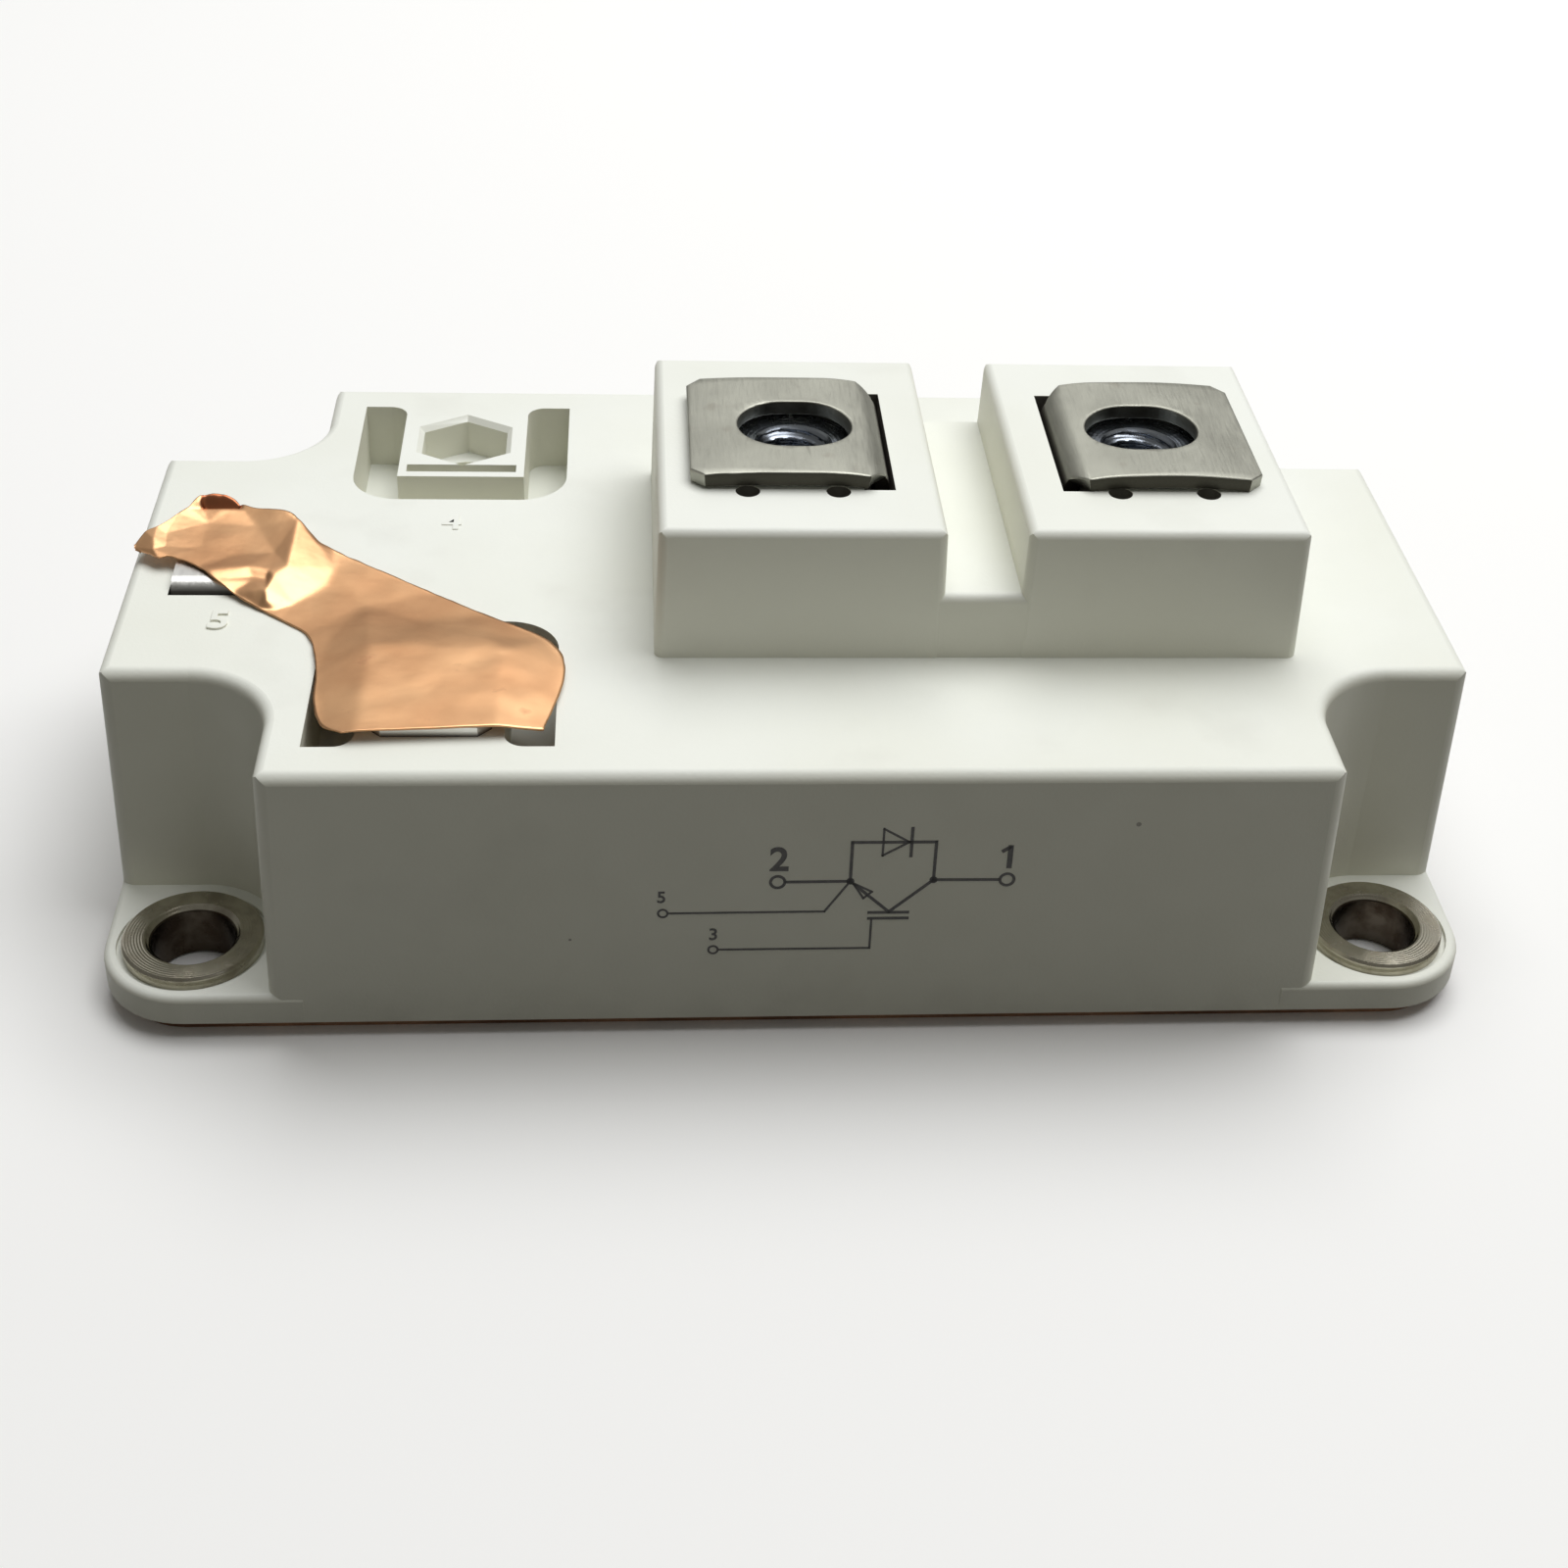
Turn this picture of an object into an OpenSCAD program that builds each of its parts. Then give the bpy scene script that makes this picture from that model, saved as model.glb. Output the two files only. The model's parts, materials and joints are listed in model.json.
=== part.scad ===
// Single-switch power module in a 62 mm housing.
// The origin is on the underside of the base plate, at its centre.
// X runs along the length, Y across the width, and the main terminals face up.

/* [Overall size] */
// Length over the mounting flanges
body_l = 106.4; // [106:0.1:107]
// Width over the mounting flanges
body_w = 61.4; // [61:0.1:62]
// Height from the underside to the top of the main terminals
total_h = 36.5; // [36:0.1:37.5]

/* [Mounting] */
// Hole spacing along the length
hole_pitch_x = 93; // [92.6:0.1:93.4]
// Hole spacing across the width
hole_pitch_y = 48; // [47.6:0.1:48.4]
// Bore of the mounting bushings
hole_d = 6.4; // [6:0.1:6.6]
// Outer diameter of a bushing's head
bushing_d = 10.7; // [10.2:0.1:11]
// Height that a bushing's head stands above the flange
bushing_proud = 0.7; // [0.4:0.1:1]

/* [Housing] */
// Height of the flange tops
flange_top = 3.9; // [3.7:0.1:4.5]
// Height of the flat top of the housing
body_top = 23.9; // [23.5:0.1:24.5]
// Height of the bridge between the towers
bridge_top = 29.4; // [28.5:0.1:30.5]
// Length of the centre block at its foot
centre_l = 80.3; // [80:0.1:80.6]
// Width of the end blocks at their foot
end_w = 34.4; // [34:0.1:34.8]
// Draft of the walls, from their foot to the housing's top
draft = 0.45; // [0.3:0.05:0.6]
// Rounding of the upper edges
edge_r = 1; // [0.7:0.1:1.2]
// Wall thickness
wall = 2.6; // [2.2:0.1:2.8]

/* [Towers] */
// Distance between the two main terminals
tower_pitch = 28; // [27.6:0.1:28.4]
// Length of a tower at its top
tower_l = 21.8; // [21.4:0.1:22.2]
// Width of a tower at its top
tower_w = 29; // [28.4:0.1:29.6]

/* [Main terminals] */
// Sheet thickness
sheet_t = 1.2; // [1:0.1:1.3]
// Width of the sheet
sheet_w = 16.2; // [15.8:0.1:16.4]
// Length of the slotted hole
slot_l = 9; // [8.6:0.1:9.4]
// Width of the slotted hole
slot_w = 7.4; // [7:0.1:7.6]

/* [Control terminals] */
// Distance of terminals 3 and 4 from the long centre line
control_y = 20.3; // [20:0.1:20.6]
// Sheet thickness
tab_t = 0.8; // [0.6:0.1:0.9]
// Width of a tab
tab_w = 9; // [8.6:0.1:9.2]

/* [Hidden] */
$fn = 96;
// Sink of one solid into the next where they are to fuse
eps = 0.01;
// Extra radius that lets a rounding cross its neighbouring faces cleanly
ease = 0.01;
// How far a cutter runs past the face that it opens
over = 1;

// Base plate
plate_t = 2.5;
plate_lip = 1.2;
plate_corner_r = 5.5;
skirt_z = 1.4;
bushing_shank_r = 4;
bushing_seat = 0.35;
seat_r = bushing_d / 2 + 0.45;
bushing_chamfer = 0.45;
hole_x = hole_pitch_x / 2;
hole_y = hole_pitch_y / 2;
flange_r = body_l / 2 - hole_x;
flange_edge_r = 0.6;

// Housing
top_l = body_l - 2 * draft;
end_top_w = end_w - 2 * draft;
centre_top_l = centre_l - 2 * draft;
centre_top_w = body_w - 3 * draft;
corner_r = 1.2;
niche_top_r = hole_x - centre_top_l / 2;
niche_foot_r = hole_x - centre_l / 2;
niche_y = end_top_w / 2 + niche_top_r;
skin = 2.5;
cavity_top = body_top - skin;
plate_gap = 0.1;

// Towers
plate_rise = 0.3;
tower_top = total_h - sheet_t - plate_rise;
tower_draft = 0.3;
tower_edge_r = 0.8;
tower_x = [0, tower_pitch];
bridge_inset = 0.06;
tower_wall = 2;
well_l = 11.5;
well_w = 13.1;
well_foot = 24;
slot_depth = 5;

// Main terminals: from the free end a slight bow, a flat, a droop and a tight bend into the leg
free_x = -8.4;
bow_x = -2;
bow_r = 70;
bow_angle = 6;
droop_x = 2.4;
droop_r = 16;
droop_angle = 10;
bend_r = 1;
weld_angle = 0.05;
bend_x = droop_x + (droop_r - bend_r) * sin(droop_angle);
bend_z = total_h - sheet_t - droop_r + (droop_r - bend_r) * cos(droop_angle);
sheet_chamfer = 1.1;
neck_x = 6.3;
neck_chamfer_x = 0.9;
neck_half = 6.4;
leg_x = bend_x + bend_r;
leg_clear = 0.25;
arc_fn = 360;
leg_narrow_z = 15;
leg_shoulder = 3;
foot_l = 3;
terminal_1_foot = [-16.8, -11.6];
terminal_2_foot = [14.8, 20.8];
dimple_r = 0.95;
dimple_depth = 1.5;
dimple_x = [-4, 3];
dimple_y = -8.35;

// Nuts: across flats, height, thread wall radius, countersink radius
m6_af = 10;
m6_h = 5.2;
m6_r = 2.5;
m6_sink_r = 3.15;
m4_af = 7;
m4_h = 3.2;
m4_r = 1.65;
m4_sink_r = 2.15;
nut_clear = 0.15;
m6_drop = 0.3;
m6_tip_r = 3.5;
m6_tip_depth = 10;

// Control pockets: 4 is behind, 3 in front, 5 on the left end block
control_x = -27.55;
end_control_x = -44.5;
pocket_l = 18.2;
pocket_front = 10.7;
pocket_back = 6.1;
pocket_depth = 5.9;
pocket_r = 4;
boss_l = 10.8;
boss_front = 6.7;
boss_fillet = 1.5;
groove_back = 4.6;
groove_front = 5.85;
groove_l = 9.4;
groove_depth = 2.5;
hex_depth = 3.5;
hex_mouth = 0.45;
tip_r = 2.3;
tip_depth = 6.5;
pocket_wall = 2;
pocket_floor = 2.4;
end_well_wall = 1.5;
tab_hole_r = 2.25;
tab_back = 4.9;
tab_leg_y = 5.55;
tab_bend_r = 0.6;
tab_bend_y = -tab_leg_y + tab_bend_r + tab_t;

// Insulating tiles and what is soldered on them
tile_l = 34;
tile_w = 46;
tile_x = [-18, 18];
back_t = 0.3;
ceramic_t = 0.63;
copper_t = 0.3;
chip_t = 0.2;
margin = 1;
ceramic_z = plate_t + back_t;
copper_z = ceramic_z + ceramic_t;
chip_z = copper_z + copper_t;
wire_z = chip_z + chip_t;
igbt_w = 12;
igbt_y = -4.5;
diode_w = 9;
diode_y = 7.5;
chip_dx = 8;
sense_shift = 1;
wire_r = 0.2;
wire_fn = 24;
wire_dx = 2;
emitter_y = 16.5;
gate_y = -19.5;
// Edges of the copper islands about a tile's centre
island_x = tile_l / 2 - margin;
island_y = tile_w / 2 - margin;
collector_low = -17;
collector_high = 13;
emitter_low = 14;
gate_high = -18;
sense_low = -8;
sense_w = 2.6;
sense_gap = 0.9;
chip_x = [for (x = tile_x, side = [-1, 1]) x + side * chip_dx + (x < 0 ? sense_shift : 0)];

// A box from one corner to the opposite one
module span(low, high) {
    translate(low) cube(high - low);
}

// A prism with six sides whose flats face along X
module hex_prism(across, height) {
    rotate([0, 0, 30]) cylinder(r = across / 2 / cos(30), h = height, $fn = 6);
}

// A wall's outline: straight drafted flanks and round shoulders at the top
module shouldered_profile(foot, top, z0, z1, r) {
    lean = atan((foot - top) / 2 / (z1 - z0));
    cx = top / 2 - r * tan((90 - lean) / 2);
    beyond = r + over;
    difference() {
        polygon([[-foot / 2, z0], [foot / 2, z0], [top / 2, z1], [-top / 2, z1]]);
        for (side = [0, 1]) mirror([side, 0, 0]) translate([cx, z1 - r]) difference() {
            polygon([[0, 0], [0, beyond], [beyond, beyond], [beyond * cos(lean), beyond * sin(lean)]]);
            circle(r + ease);
        }
    }
}

// The space outside one drafted and rounded vertical corner, in the quadrant of +X and +Y
module corner_waste(foot_x, foot_y, top_x, top_y, z0, z1, r) {
    rise = z1 - z0;
    dx = foot_x - top_x;
    dy = foot_y - top_y;
    length = sqrt(rise * rise + dx * dx + dy * dy);
    translate([foot_x, foot_y, z0])
        rotate([asin(dy / length), -atan(dx / rise), 0])
            translate([-r, -r, -over])
                difference() {
                    cube([r + over, r + over, length + 2 * over]);
                    translate([0, 0, -over]) cylinder(r = r + ease, h = length + 4 * over);
                }
}

// A moulded block with draft, round upper edges and round vertical corners
module moulded_block(foot_l, foot_w, top_l, top_w, z0, z1, r, corner) {
    difference() {
        intersection() {
            translate([0, foot_w / 2 + over, 0]) rotate([90, 0, 0]) linear_extrude(foot_w + 2 * over)
                shouldered_profile(foot_l, top_l, z0, z1, r);
            translate([-foot_l / 2 - over, 0, 0]) rotate([90, 0, 90]) linear_extrude(foot_l + 2 * over)
                shouldered_profile(foot_w, top_w, z0, z1, r);
        }
        for (mx = [0, 1], my = [0, 1]) mirror([mx, 0, 0]) mirror([0, my, 0])
            corner_waste(foot_l / 2, foot_w / 2, top_l / 2, top_w / 2, z0, z1, corner);
    }
}

// Section of a flange from its inside to its eased outer edge, along +X
module flange_section(inside) {
    r = flange_edge_r;
    difference() {
        translate([-inside, skirt_z]) square([inside + flange_r, flange_top - skirt_z]);
        translate([flange_r - r, flange_top - r]) difference() {
            square(r + over);
            circle(r + ease);
        }
    }
}

// One corner flange: round corner about the mounting hole, upper edge eased
module corner_flange() {
    inside = 9;
    translate([hole_x, hole_y, 0]) {
        rotate_extrude() intersection() {
            flange_section(0);
            square([flange_r, flange_top]);
        }
        rotate([90, 0, 0]) linear_extrude(inside) flange_section(inside);
        translate([-inside, 0, 0]) rotate([90, 0, 90]) linear_extrude(inside) flange_section(inside);
    }
}

// Fills the inner corner behind a mounting hole with a concave drafted wall
module niche_fill() {
    overlap = 2;
    difference() {
        span([centre_top_l / 2 - overlap, end_top_w / 2 - overlap, skirt_z],
             [hole_x, niche_y, body_top]);
        translate([hole_x, niche_y, skirt_z - eps])
            cylinder(r1 = niche_foot_r + ease, r2 = niche_top_r + ease, h = body_top - skirt_z + 2 * eps);
        translate([hole_x, niche_y, 0]) rotate_extrude() difference() {
            translate([0, body_top - edge_r]) square([niche_top_r + edge_r, edge_r + over]);
            translate([niche_top_r + edge_r, body_top - edge_r]) circle(edge_r + ease);
        }
    }
}

module each_corner() {
    for (mx = [0, 1], my = [0, 1]) mirror([mx, 0, 0]) mirror([0, my, 0]) children();
}

// Outer form of the moulding, still solid
module housing_form() {
    moulded_block(centre_l, body_w, centre_top_l, centre_top_w, skirt_z, body_top, edge_r, corner_r);
    moulded_block(body_l, end_w, top_l, end_top_w, skirt_z, body_top, edge_r, corner_r);
    each_corner() {
        corner_flange();
        niche_fill();
    }
    wide_l = tower_l + 2 * tower_draft;
    wide_w = tower_w + 2 * tower_draft;
    sunk = body_top - 1;
    for (x = tower_x) translate([x, 0, 0])
        moulded_block(wide_l, wide_w, tower_l, tower_w, sunk, tower_top, tower_edge_r, tower_edge_r);
    bridge_w = tower_w + tower_draft - 2 * bridge_inset;
    translate([tower_l / 4, 0, 0]) rotate([90, 0, 90]) linear_extrude(tower_pitch - tower_l / 2)
        shouldered_profile(bridge_w + tower_draft, bridge_w, sunk, bridge_top, tower_edge_r);
}

// The room under the moulding, with its wells left standing
module housing_room() {
    difference() {
        union() {
            span([-centre_l / 2 + wall, -body_w / 2 + wall, -over],
                 [centre_l / 2 - wall, body_w / 2 - wall, cavity_top]);
            span([-body_l / 2 + wall, -end_w / 2 + wall, -over],
                 [body_l / 2 - wall, end_w / 2 - wall, cavity_top]);
            for (x = tower_x)
                span([x - tower_l / 2 + tower_wall, -tower_w / 2 + tower_wall, cavity_top - over],
                     [x + tower_l / 2 - tower_wall, tower_w / 2 - tower_wall, tower_top - tower_wall]);
            span([tower_l / 4, -tower_w / 2 + tower_wall, cavity_top - over],
                 [tower_pitch - tower_l / 4, tower_w / 2 - tower_wall, bridge_top - tower_wall]);
        }
        for (x = tower_x)
            span([x - well_l / 2, -well_w / 2, well_foot], [x + well_l / 2, well_w / 2, tower_top]);
        for (my = [0, 1]) mirror([0, my, 0])
            span([control_x - pocket_l / 2 - pocket_wall, control_y - pocket_front - pocket_wall,
                  body_top - pocket_depth - pocket_floor],
                 [control_x + pocket_l / 2 + pocket_wall, body_w / 2, body_top]);
        span([-body_l / 2, -groove_front - end_well_wall, body_top - tip_depth - end_well_wall],
             [end_control_x + groove_l / 2 + end_well_wall, tab_back + over, body_top]);
    }
}

// Hexagonal nest for a nut, chamfered at its mouth, with room for a screw's tip below
module nut_nest(across, depth, mouth, screw_r, screw_depth) {
    translate([0, 0, -depth]) hex_prism(across + 2 * nut_clear, depth + over);
    translate([0, 0, -screw_depth]) cylinder(r = screw_r, h = screw_depth);
    if (mouth > 0) translate([0, 0, -mouth]) intersection_for(turn = [0, 60, 120])
        rotate([0, 0, turn]) rotate([90, 0, 0])
            linear_extrude(across * 2, center = true) polygon([
                [-across / 2 - nut_clear, 0], [across / 2 + nut_clear, 0],
                [across / 2 + nut_clear + 2 * mouth, 2 * mouth],
                [-across / 2 - nut_clear - 2 * mouth, 2 * mouth]
            ]);
}

// What a control terminal needs in the moulding's top: nut nest and a groove for its leg.
// Where a tab is fitted, the groove's inner edge is bevelled for the bend.
module control_nest(groove_bottom, fitted) {
    nut_nest(m4_af, hex_depth, hex_mouth, tip_r, tip_depth);
    span([-groove_l / 2, -groove_front, groove_bottom], [groove_l / 2, -groove_back, over]);
    edge_y = -groove_back - over;
    if (fitted) translate([-groove_l / 2, 0, 0]) rotate([90, 0, 90]) linear_extrude(groove_l)
        polygon([[edge_y, edge_y - tab_bend_y], [tab_bend_y + over, over], [edge_y, over]]);
}

// The U-shaped recess round the boss of terminals 3 and 4
module boss_recess() {
    back = pocket_back;
    front = -pocket_front;
    half = pocket_l / 2;
    translate([0, 0, -pocket_depth]) linear_extrude(pocket_depth + over) difference() {
        union() {
            translate([-half, front + pocket_r]) square([pocket_l, back - front - pocket_r]);
            translate([-half + pocket_r, front]) square([pocket_l - 2 * pocket_r, pocket_r + over]);
            for (side = [-1, 1]) translate([side * (half - pocket_r), front + pocket_r])
                circle(pocket_r);
        }
        translate([-boss_l / 2, -boss_front]) square([boss_l, back + boss_front + over]);
        for (side = [-1, 1]) difference() {
            translate([side * (boss_l / 2 + boss_fillet / 2), back - boss_fillet / 2 + eps])
                square(boss_fillet + 2 * eps, center = true);
            translate([side * (boss_l / 2 + boss_fillet), back - boss_fillet]) circle(boss_fillet);
        }
    }
}

// Slot for a main terminal's leg, flared under the bend
module leg_slot() {
    inner = leg_x - leg_clear;
    outer = leg_x + sheet_t + leg_clear;
    half = sheet_w / 2;
    foot = tower_top - slot_depth;
    translate([0, half, 0]) rotate([90, 0, 0]) linear_extrude(2 * half) polygon([
        [inner, foot], [outer, foot], [outer, tower_top + over], [bend_x, tower_top + over],
        [bend_x, tower_top], [inner, bend_z]
    ]);
}

// Nut nest, leg slot and two small dimples in the top of a tower
module tower_nest() {
    translate([0, 0, tower_top]) nut_nest(m6_af, m6_h + m6_drop, 0, m6_tip_r, m6_tip_depth);
    leg_slot();
    for (x = dimple_x) translate([x, dimple_y, tower_top - dimple_depth])
        cylinder(r = dimple_r, h = dimple_depth + over);
}

module housing() {
    color("linen") difference() {
        housing_form();
        housing_room();
        translate([0, 0, -over]) linear_extrude(plate_t + over) plate_outline(plate_lip - plate_gap);
        each_corner() translate([hole_x, hole_y, 0]) {
            cylinder(r = bushing_shank_r, h = flange_top + over);
            translate([0, 0, flange_top - bushing_seat]) cylinder(r = seat_r, h = bushing_seat + over);
        }
        tower_nest();
        translate([tower_pitch, 0, 0]) mirror([1, 0, 0]) tower_nest();
        for (my = [0, 1]) mirror([0, my, 0]) translate([control_x, control_y, body_top]) {
            boss_recess();
            control_nest(my == 1 ? -pocket_depth - pocket_floor - over : -groove_depth, my == 1);
        }
        translate([end_control_x, 0, body_top]) control_nest(-tip_depth - end_well_wall - over, true);
    }
}

// Outline of the base plate, inset from the flanges
module plate_outline(inset) {
    length = body_l - 2 * inset;
    width = body_w - 2 * inset;
    r = plate_corner_r;
    square([length - 2 * r, width], center = true);
    square([length, width - 2 * r], center = true);
    for (sx = [-1, 1], sy = [-1, 1])
        translate([sx * (length / 2 - r), sy * (width / 2 - r)]) circle(r);
}

module base_plate() {
    color("peru") difference() {
        linear_extrude(plate_t) plate_outline(plate_lip);
        each_corner() translate([hole_x, hole_y, -over])
            cylinder(r = bushing_shank_r, h = plate_t + 2 * over);
    }
}

// A turned bushing that guides the mounting screw through flange and plate
module bushing(x, y) {
    seat_z = flange_top - bushing_seat;
    head_z = flange_top + bushing_proud;
    bore = hole_d / 2;
    head = bushing_d / 2;
    bevel = 0.2;
    foot = 0.2;
    color("silver") translate([x, y, 0]) rotate_extrude() polygon([
        [bore, foot], [bushing_shank_r, foot], [bushing_shank_r, seat_z], [head, seat_z],
        [head, head_z - bevel], [head - bevel, head_z],
        [bore + bushing_chamfer, head_z], [bore, head_z - bushing_chamfer]
    ]);
}

// A bent stretch of a main terminal's sheet about an axis along Y at x and z
module sheet_bend(x, z, r, from, sweep) {
    translate([x, sheet_w / 2, z]) rotate([90, 0, 0]) rotate([0, 0, from])
        rotate_extrude(angle = sweep, $fn = arc_fn) translate([r, 0]) square([sheet_t, sheet_w]);
}

// A main terminal's sheet from its free end to the top of its leg.
// The tight bend turns a trace further than the droop needs, so that the two fuse.
module sheet_run() {
    plate_z = total_h - sheet_t;
    span([bow_x, -sheet_w / 2, plate_z], [droop_x, sheet_w / 2, total_h]);
    sheet_bend(bow_x, plate_z - bow_r, bow_r, 90, bow_angle);
    sheet_bend(droop_x, plate_z - droop_r, droop_r, 90 - droop_angle, droop_angle);
    sheet_bend(bend_x, bend_z, bend_r, 0, 90 - droop_angle + weld_angle);
}

// A main terminal's plate seen from above: clipped corners and a narrower neck at the bend
module sheet_outline() {
    half = sheet_w / 2;
    beyond = leg_x + sheet_t + over;
    polygon([
        [free_x, -half + sheet_chamfer], [free_x + sheet_chamfer, -half],
        [neck_x - neck_chamfer_x, -half], [neck_x, -neck_half], [beyond, -neck_half],
        [beyond, neck_half], [neck_x, neck_half], [neck_x - neck_chamfer_x, half],
        [free_x + sheet_chamfer, half], [free_x, half - sheet_chamfer]
    ]);
}

// Bent strip: plate over the tower, rounded over and down to a foot on the tile.
// The foot runs from one place to the other along Y.
module main_terminal(foot) {
    intersection() {
        sheet_run();
        translate([0, 0, bend_z - over]) linear_extrude(total_h - bend_z + 2 * over) difference() {
            sheet_outline();
            slot_outline();
        }
    }
    translate([leg_x, 0, 0]) rotate([90, 0, 90]) linear_extrude(sheet_t) polygon([
        [-neck_half, leg_narrow_z + leg_shoulder], [foot[0], leg_narrow_z], [foot[0], chip_z],
        [foot[1], chip_z], [foot[1], leg_narrow_z], [neck_half, leg_narrow_z + leg_shoulder],
        [neck_half, bend_z], [-neck_half, bend_z]
    ]);
    span([leg_x - foot_l, foot[0], chip_z], [leg_x + eps, foot[1], chip_z + sheet_t]);
}

// Outline of the slotted screw hole in a main terminal
module slot_outline() {
    run = (slot_l - slot_w) / 2;
    square([2 * run, slot_w], center = true);
    for (side = [-1, 1]) translate([side * run, 0]) circle(slot_w / 2);
}

module main_terminal_2() {
    color("gray") main_terminal(terminal_2_foot);
}

module main_terminal_1() {
    color("gray") translate([tower_pitch, 0, 0]) mirror([1, 0, 0]) main_terminal(terminal_1_foot);
}

// Hexagonal nut with chamfered corners and a countersunk thread
module nut(across, height, thread_r, sink_r) {
    flat = across / 2;
    crown = flat / cos(30);
    cut = (crown - flat) * tan(30);
    sink = sink_r - thread_r;
    intersection() {
        hex_prism(across, height);
        rotate_extrude() polygon([
            [sink_r, 0], [flat, 0], [crown, cut], [crown, height - cut], [flat, height],
            [sink_r, height], [thread_r, height - sink], [thread_r, sink]
        ]);
    }
}

module main_nut(x) {
    color("lightsteelblue") translate([x, 0, tower_top - m6_drop - m6_h])
        nut(m6_af, m6_h, m6_r, m6_sink_r);
}

module control_nut(x, y) {
    color("lightsteelblue") translate([x, y, body_top - hex_depth])
        nut(m4_af, m4_h, m4_r, m4_sink_r);
}

// Bent control tab in the YZ plane: flat over the nut, bend, and leg down the groove
module control_tab(leg_foot) {
    outer_r = tab_bend_r + tab_t;
    bevel = 1;
    difference() {
        intersection() {
            union() {
                span([-tab_w / 2, tab_bend_y, 0], [tab_w / 2, tab_back, tab_t]);
                translate([-tab_w / 2, tab_bend_y, -tab_bend_r]) rotate([90, 0, 90])
                    linear_extrude(tab_w) intersection() {
                        difference() {
                            circle(outer_r);
                            circle(tab_bend_r);
                        }
                        translate([-outer_r - over, 0]) square(outer_r + over);
                    }
            }
            translate([0, 0, -outer_r]) linear_extrude(3 * outer_r) polygon([
                [-tab_w / 2, -tab_leg_y - over], [tab_w / 2, -tab_leg_y - over],
                [tab_w / 2, tab_back - bevel], [tab_w / 2 - bevel, tab_back],
                [-tab_w / 2 + bevel, tab_back], [-tab_w / 2, tab_back - bevel]
            ]);
        }
        translate([0, 0, -over]) cylinder(r = tab_hole_r, h = tab_t + 2 * over);
    }
    span([-tab_w / 2, -tab_leg_y, leg_foot], [tab_w / 2, -tab_leg_y + tab_t, -tab_bend_r]);
}

// Terminal 3 runs forward inside the housing to the gate copper
module control_terminal_3() {
    elbow_z = 10;
    run_w = 4;
    leg_y = -control_y + tab_leg_y;
    color("silver") {
        translate([control_x, -control_y, body_top]) mirror([0, 1, 0]) control_tab(elbow_z - body_top);
        span([control_x - run_w / 2, gate_y - tab_t / 2, elbow_z],
             [control_x + run_w / 2, leg_y, elbow_z + tab_t]);
        span([control_x - run_w / 2, gate_y - tab_t / 2, chip_z],
             [control_x + run_w / 2, gate_y + tab_t / 2, elbow_z + eps]);
    }
}

// Terminal 5 runs sideways inside the housing to the emitter copper
module control_terminal_5() {
    elbow_z = 8;
    arm = 3;
    low = -tab_leg_y;
    reach = -32.6;
    color("silver") {
        translate([end_control_x, 0, body_top]) control_tab(elbow_z - body_top);
        span([end_control_x, low, elbow_z], [reach, low + tab_t, elbow_z + arm]);
        span([reach - 1.4, low, chip_z], [reach, low + tab_t, elbow_z + eps]);
    }
}

// Copper strip that short-circuits terminals 3 and 5 until the module is fitted
module shorting_foil() {
    foil_t = 0.15;
    foil_z = body_top + tab_t;
    color("peru") translate([0, 0, foil_z]) linear_extrude(foil_t) polygon([
        [-52, 0.6], [-49.6, 5.2], [-47, 8], [-43.8, 7], [-40.4, 4.2], [-36, -1.8],
        [-28, -7.2], [-18.8, -12.3], [-17.8, -17], [-19.4, -25], [-34, -26], [-39.4, -20],
        [-39.6, -12], [-43.6, -8], [-46.2, -3.9], [-48.6, -1.8]
    ]);
}

// Tile pieces: x is the tile's centre
module tile_slab(x, inset, z, t) {
    translate([x, 0, z + t / 2]) cube([tile_l - 2 * inset, tile_w - 2 * inset, t], center = true);
}

module ceramic(x) {
    color("white") tile_slab(x, 0, ceramic_z, ceramic_t);
}

module tile_back(x) {
    color("peru") tile_slab(x, margin, plate_t, back_t);
}

// An island of copper on top of a tile, given by its extent about the tile's centre
module island(x, x0, x1, y0, y1) {
    span([x + x0, y0, copper_z], [x + x1, y1, chip_z]);
}

module collector_copper(x, left_inset) {
    color("peru") island(x, -island_x + left_inset, island_x, collector_low, collector_high);
}

// The left tile's emitter island has a side track that terminal 5 stands on
module emitter_copper(x, sense) {
    color("peru") {
        island(x, -island_x, island_x, emitter_low, island_y);
        if (sense) island(x, -island_x, -island_x + sense_w, sense_low, emitter_low + eps);
    }
}

module gate_copper(x) {
    color("peru") island(x, -island_x, island_x, -island_y, gate_high);
}

module igbt_chip(index) {
    color("dimgray") translate([chip_x[index], igbt_y, chip_z + chip_t / 2])
        cube([igbt_w, igbt_w, chip_t], center = true);
}

module diode_chip(index) {
    color("dimgray") translate([chip_x[index], diode_y, chip_z + chip_t / 2])
        cube([diode_w, diode_w, chip_t], center = true);
}

// A looped wire between two points of one height, across the X or the Y direction
module wire_loop(middle, reach, turn) {
    translate(middle) rotate([0, 0, turn]) rotate([90, 0, 0])
        rotate_extrude(angle = 180) translate([reach / 2, 0]) circle(wire_r, $fn = wire_fn);
}

module wire_foot(x, y) {
    translate([x, y, chip_z]) cylinder(r = wire_r, h = chip_t, $fn = wire_fn);
}

module emitter_wires(first) {
    near = diode_y - wire_dx / 2;
    far = diode_y + wire_dx / 2;
    color("gainsboro") for (index = [first, first + 1], step = [-1, 0, 1]) {
        x = chip_x[index] + step * wire_dx;
        wire_loop([x, (igbt_y + near) / 2, wire_z], near - igbt_y, 90);
        wire_loop([x, (far + emitter_y) / 2, wire_z], emitter_y - far, 90);
        wire_foot(x, emitter_y);
    }
}

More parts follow.
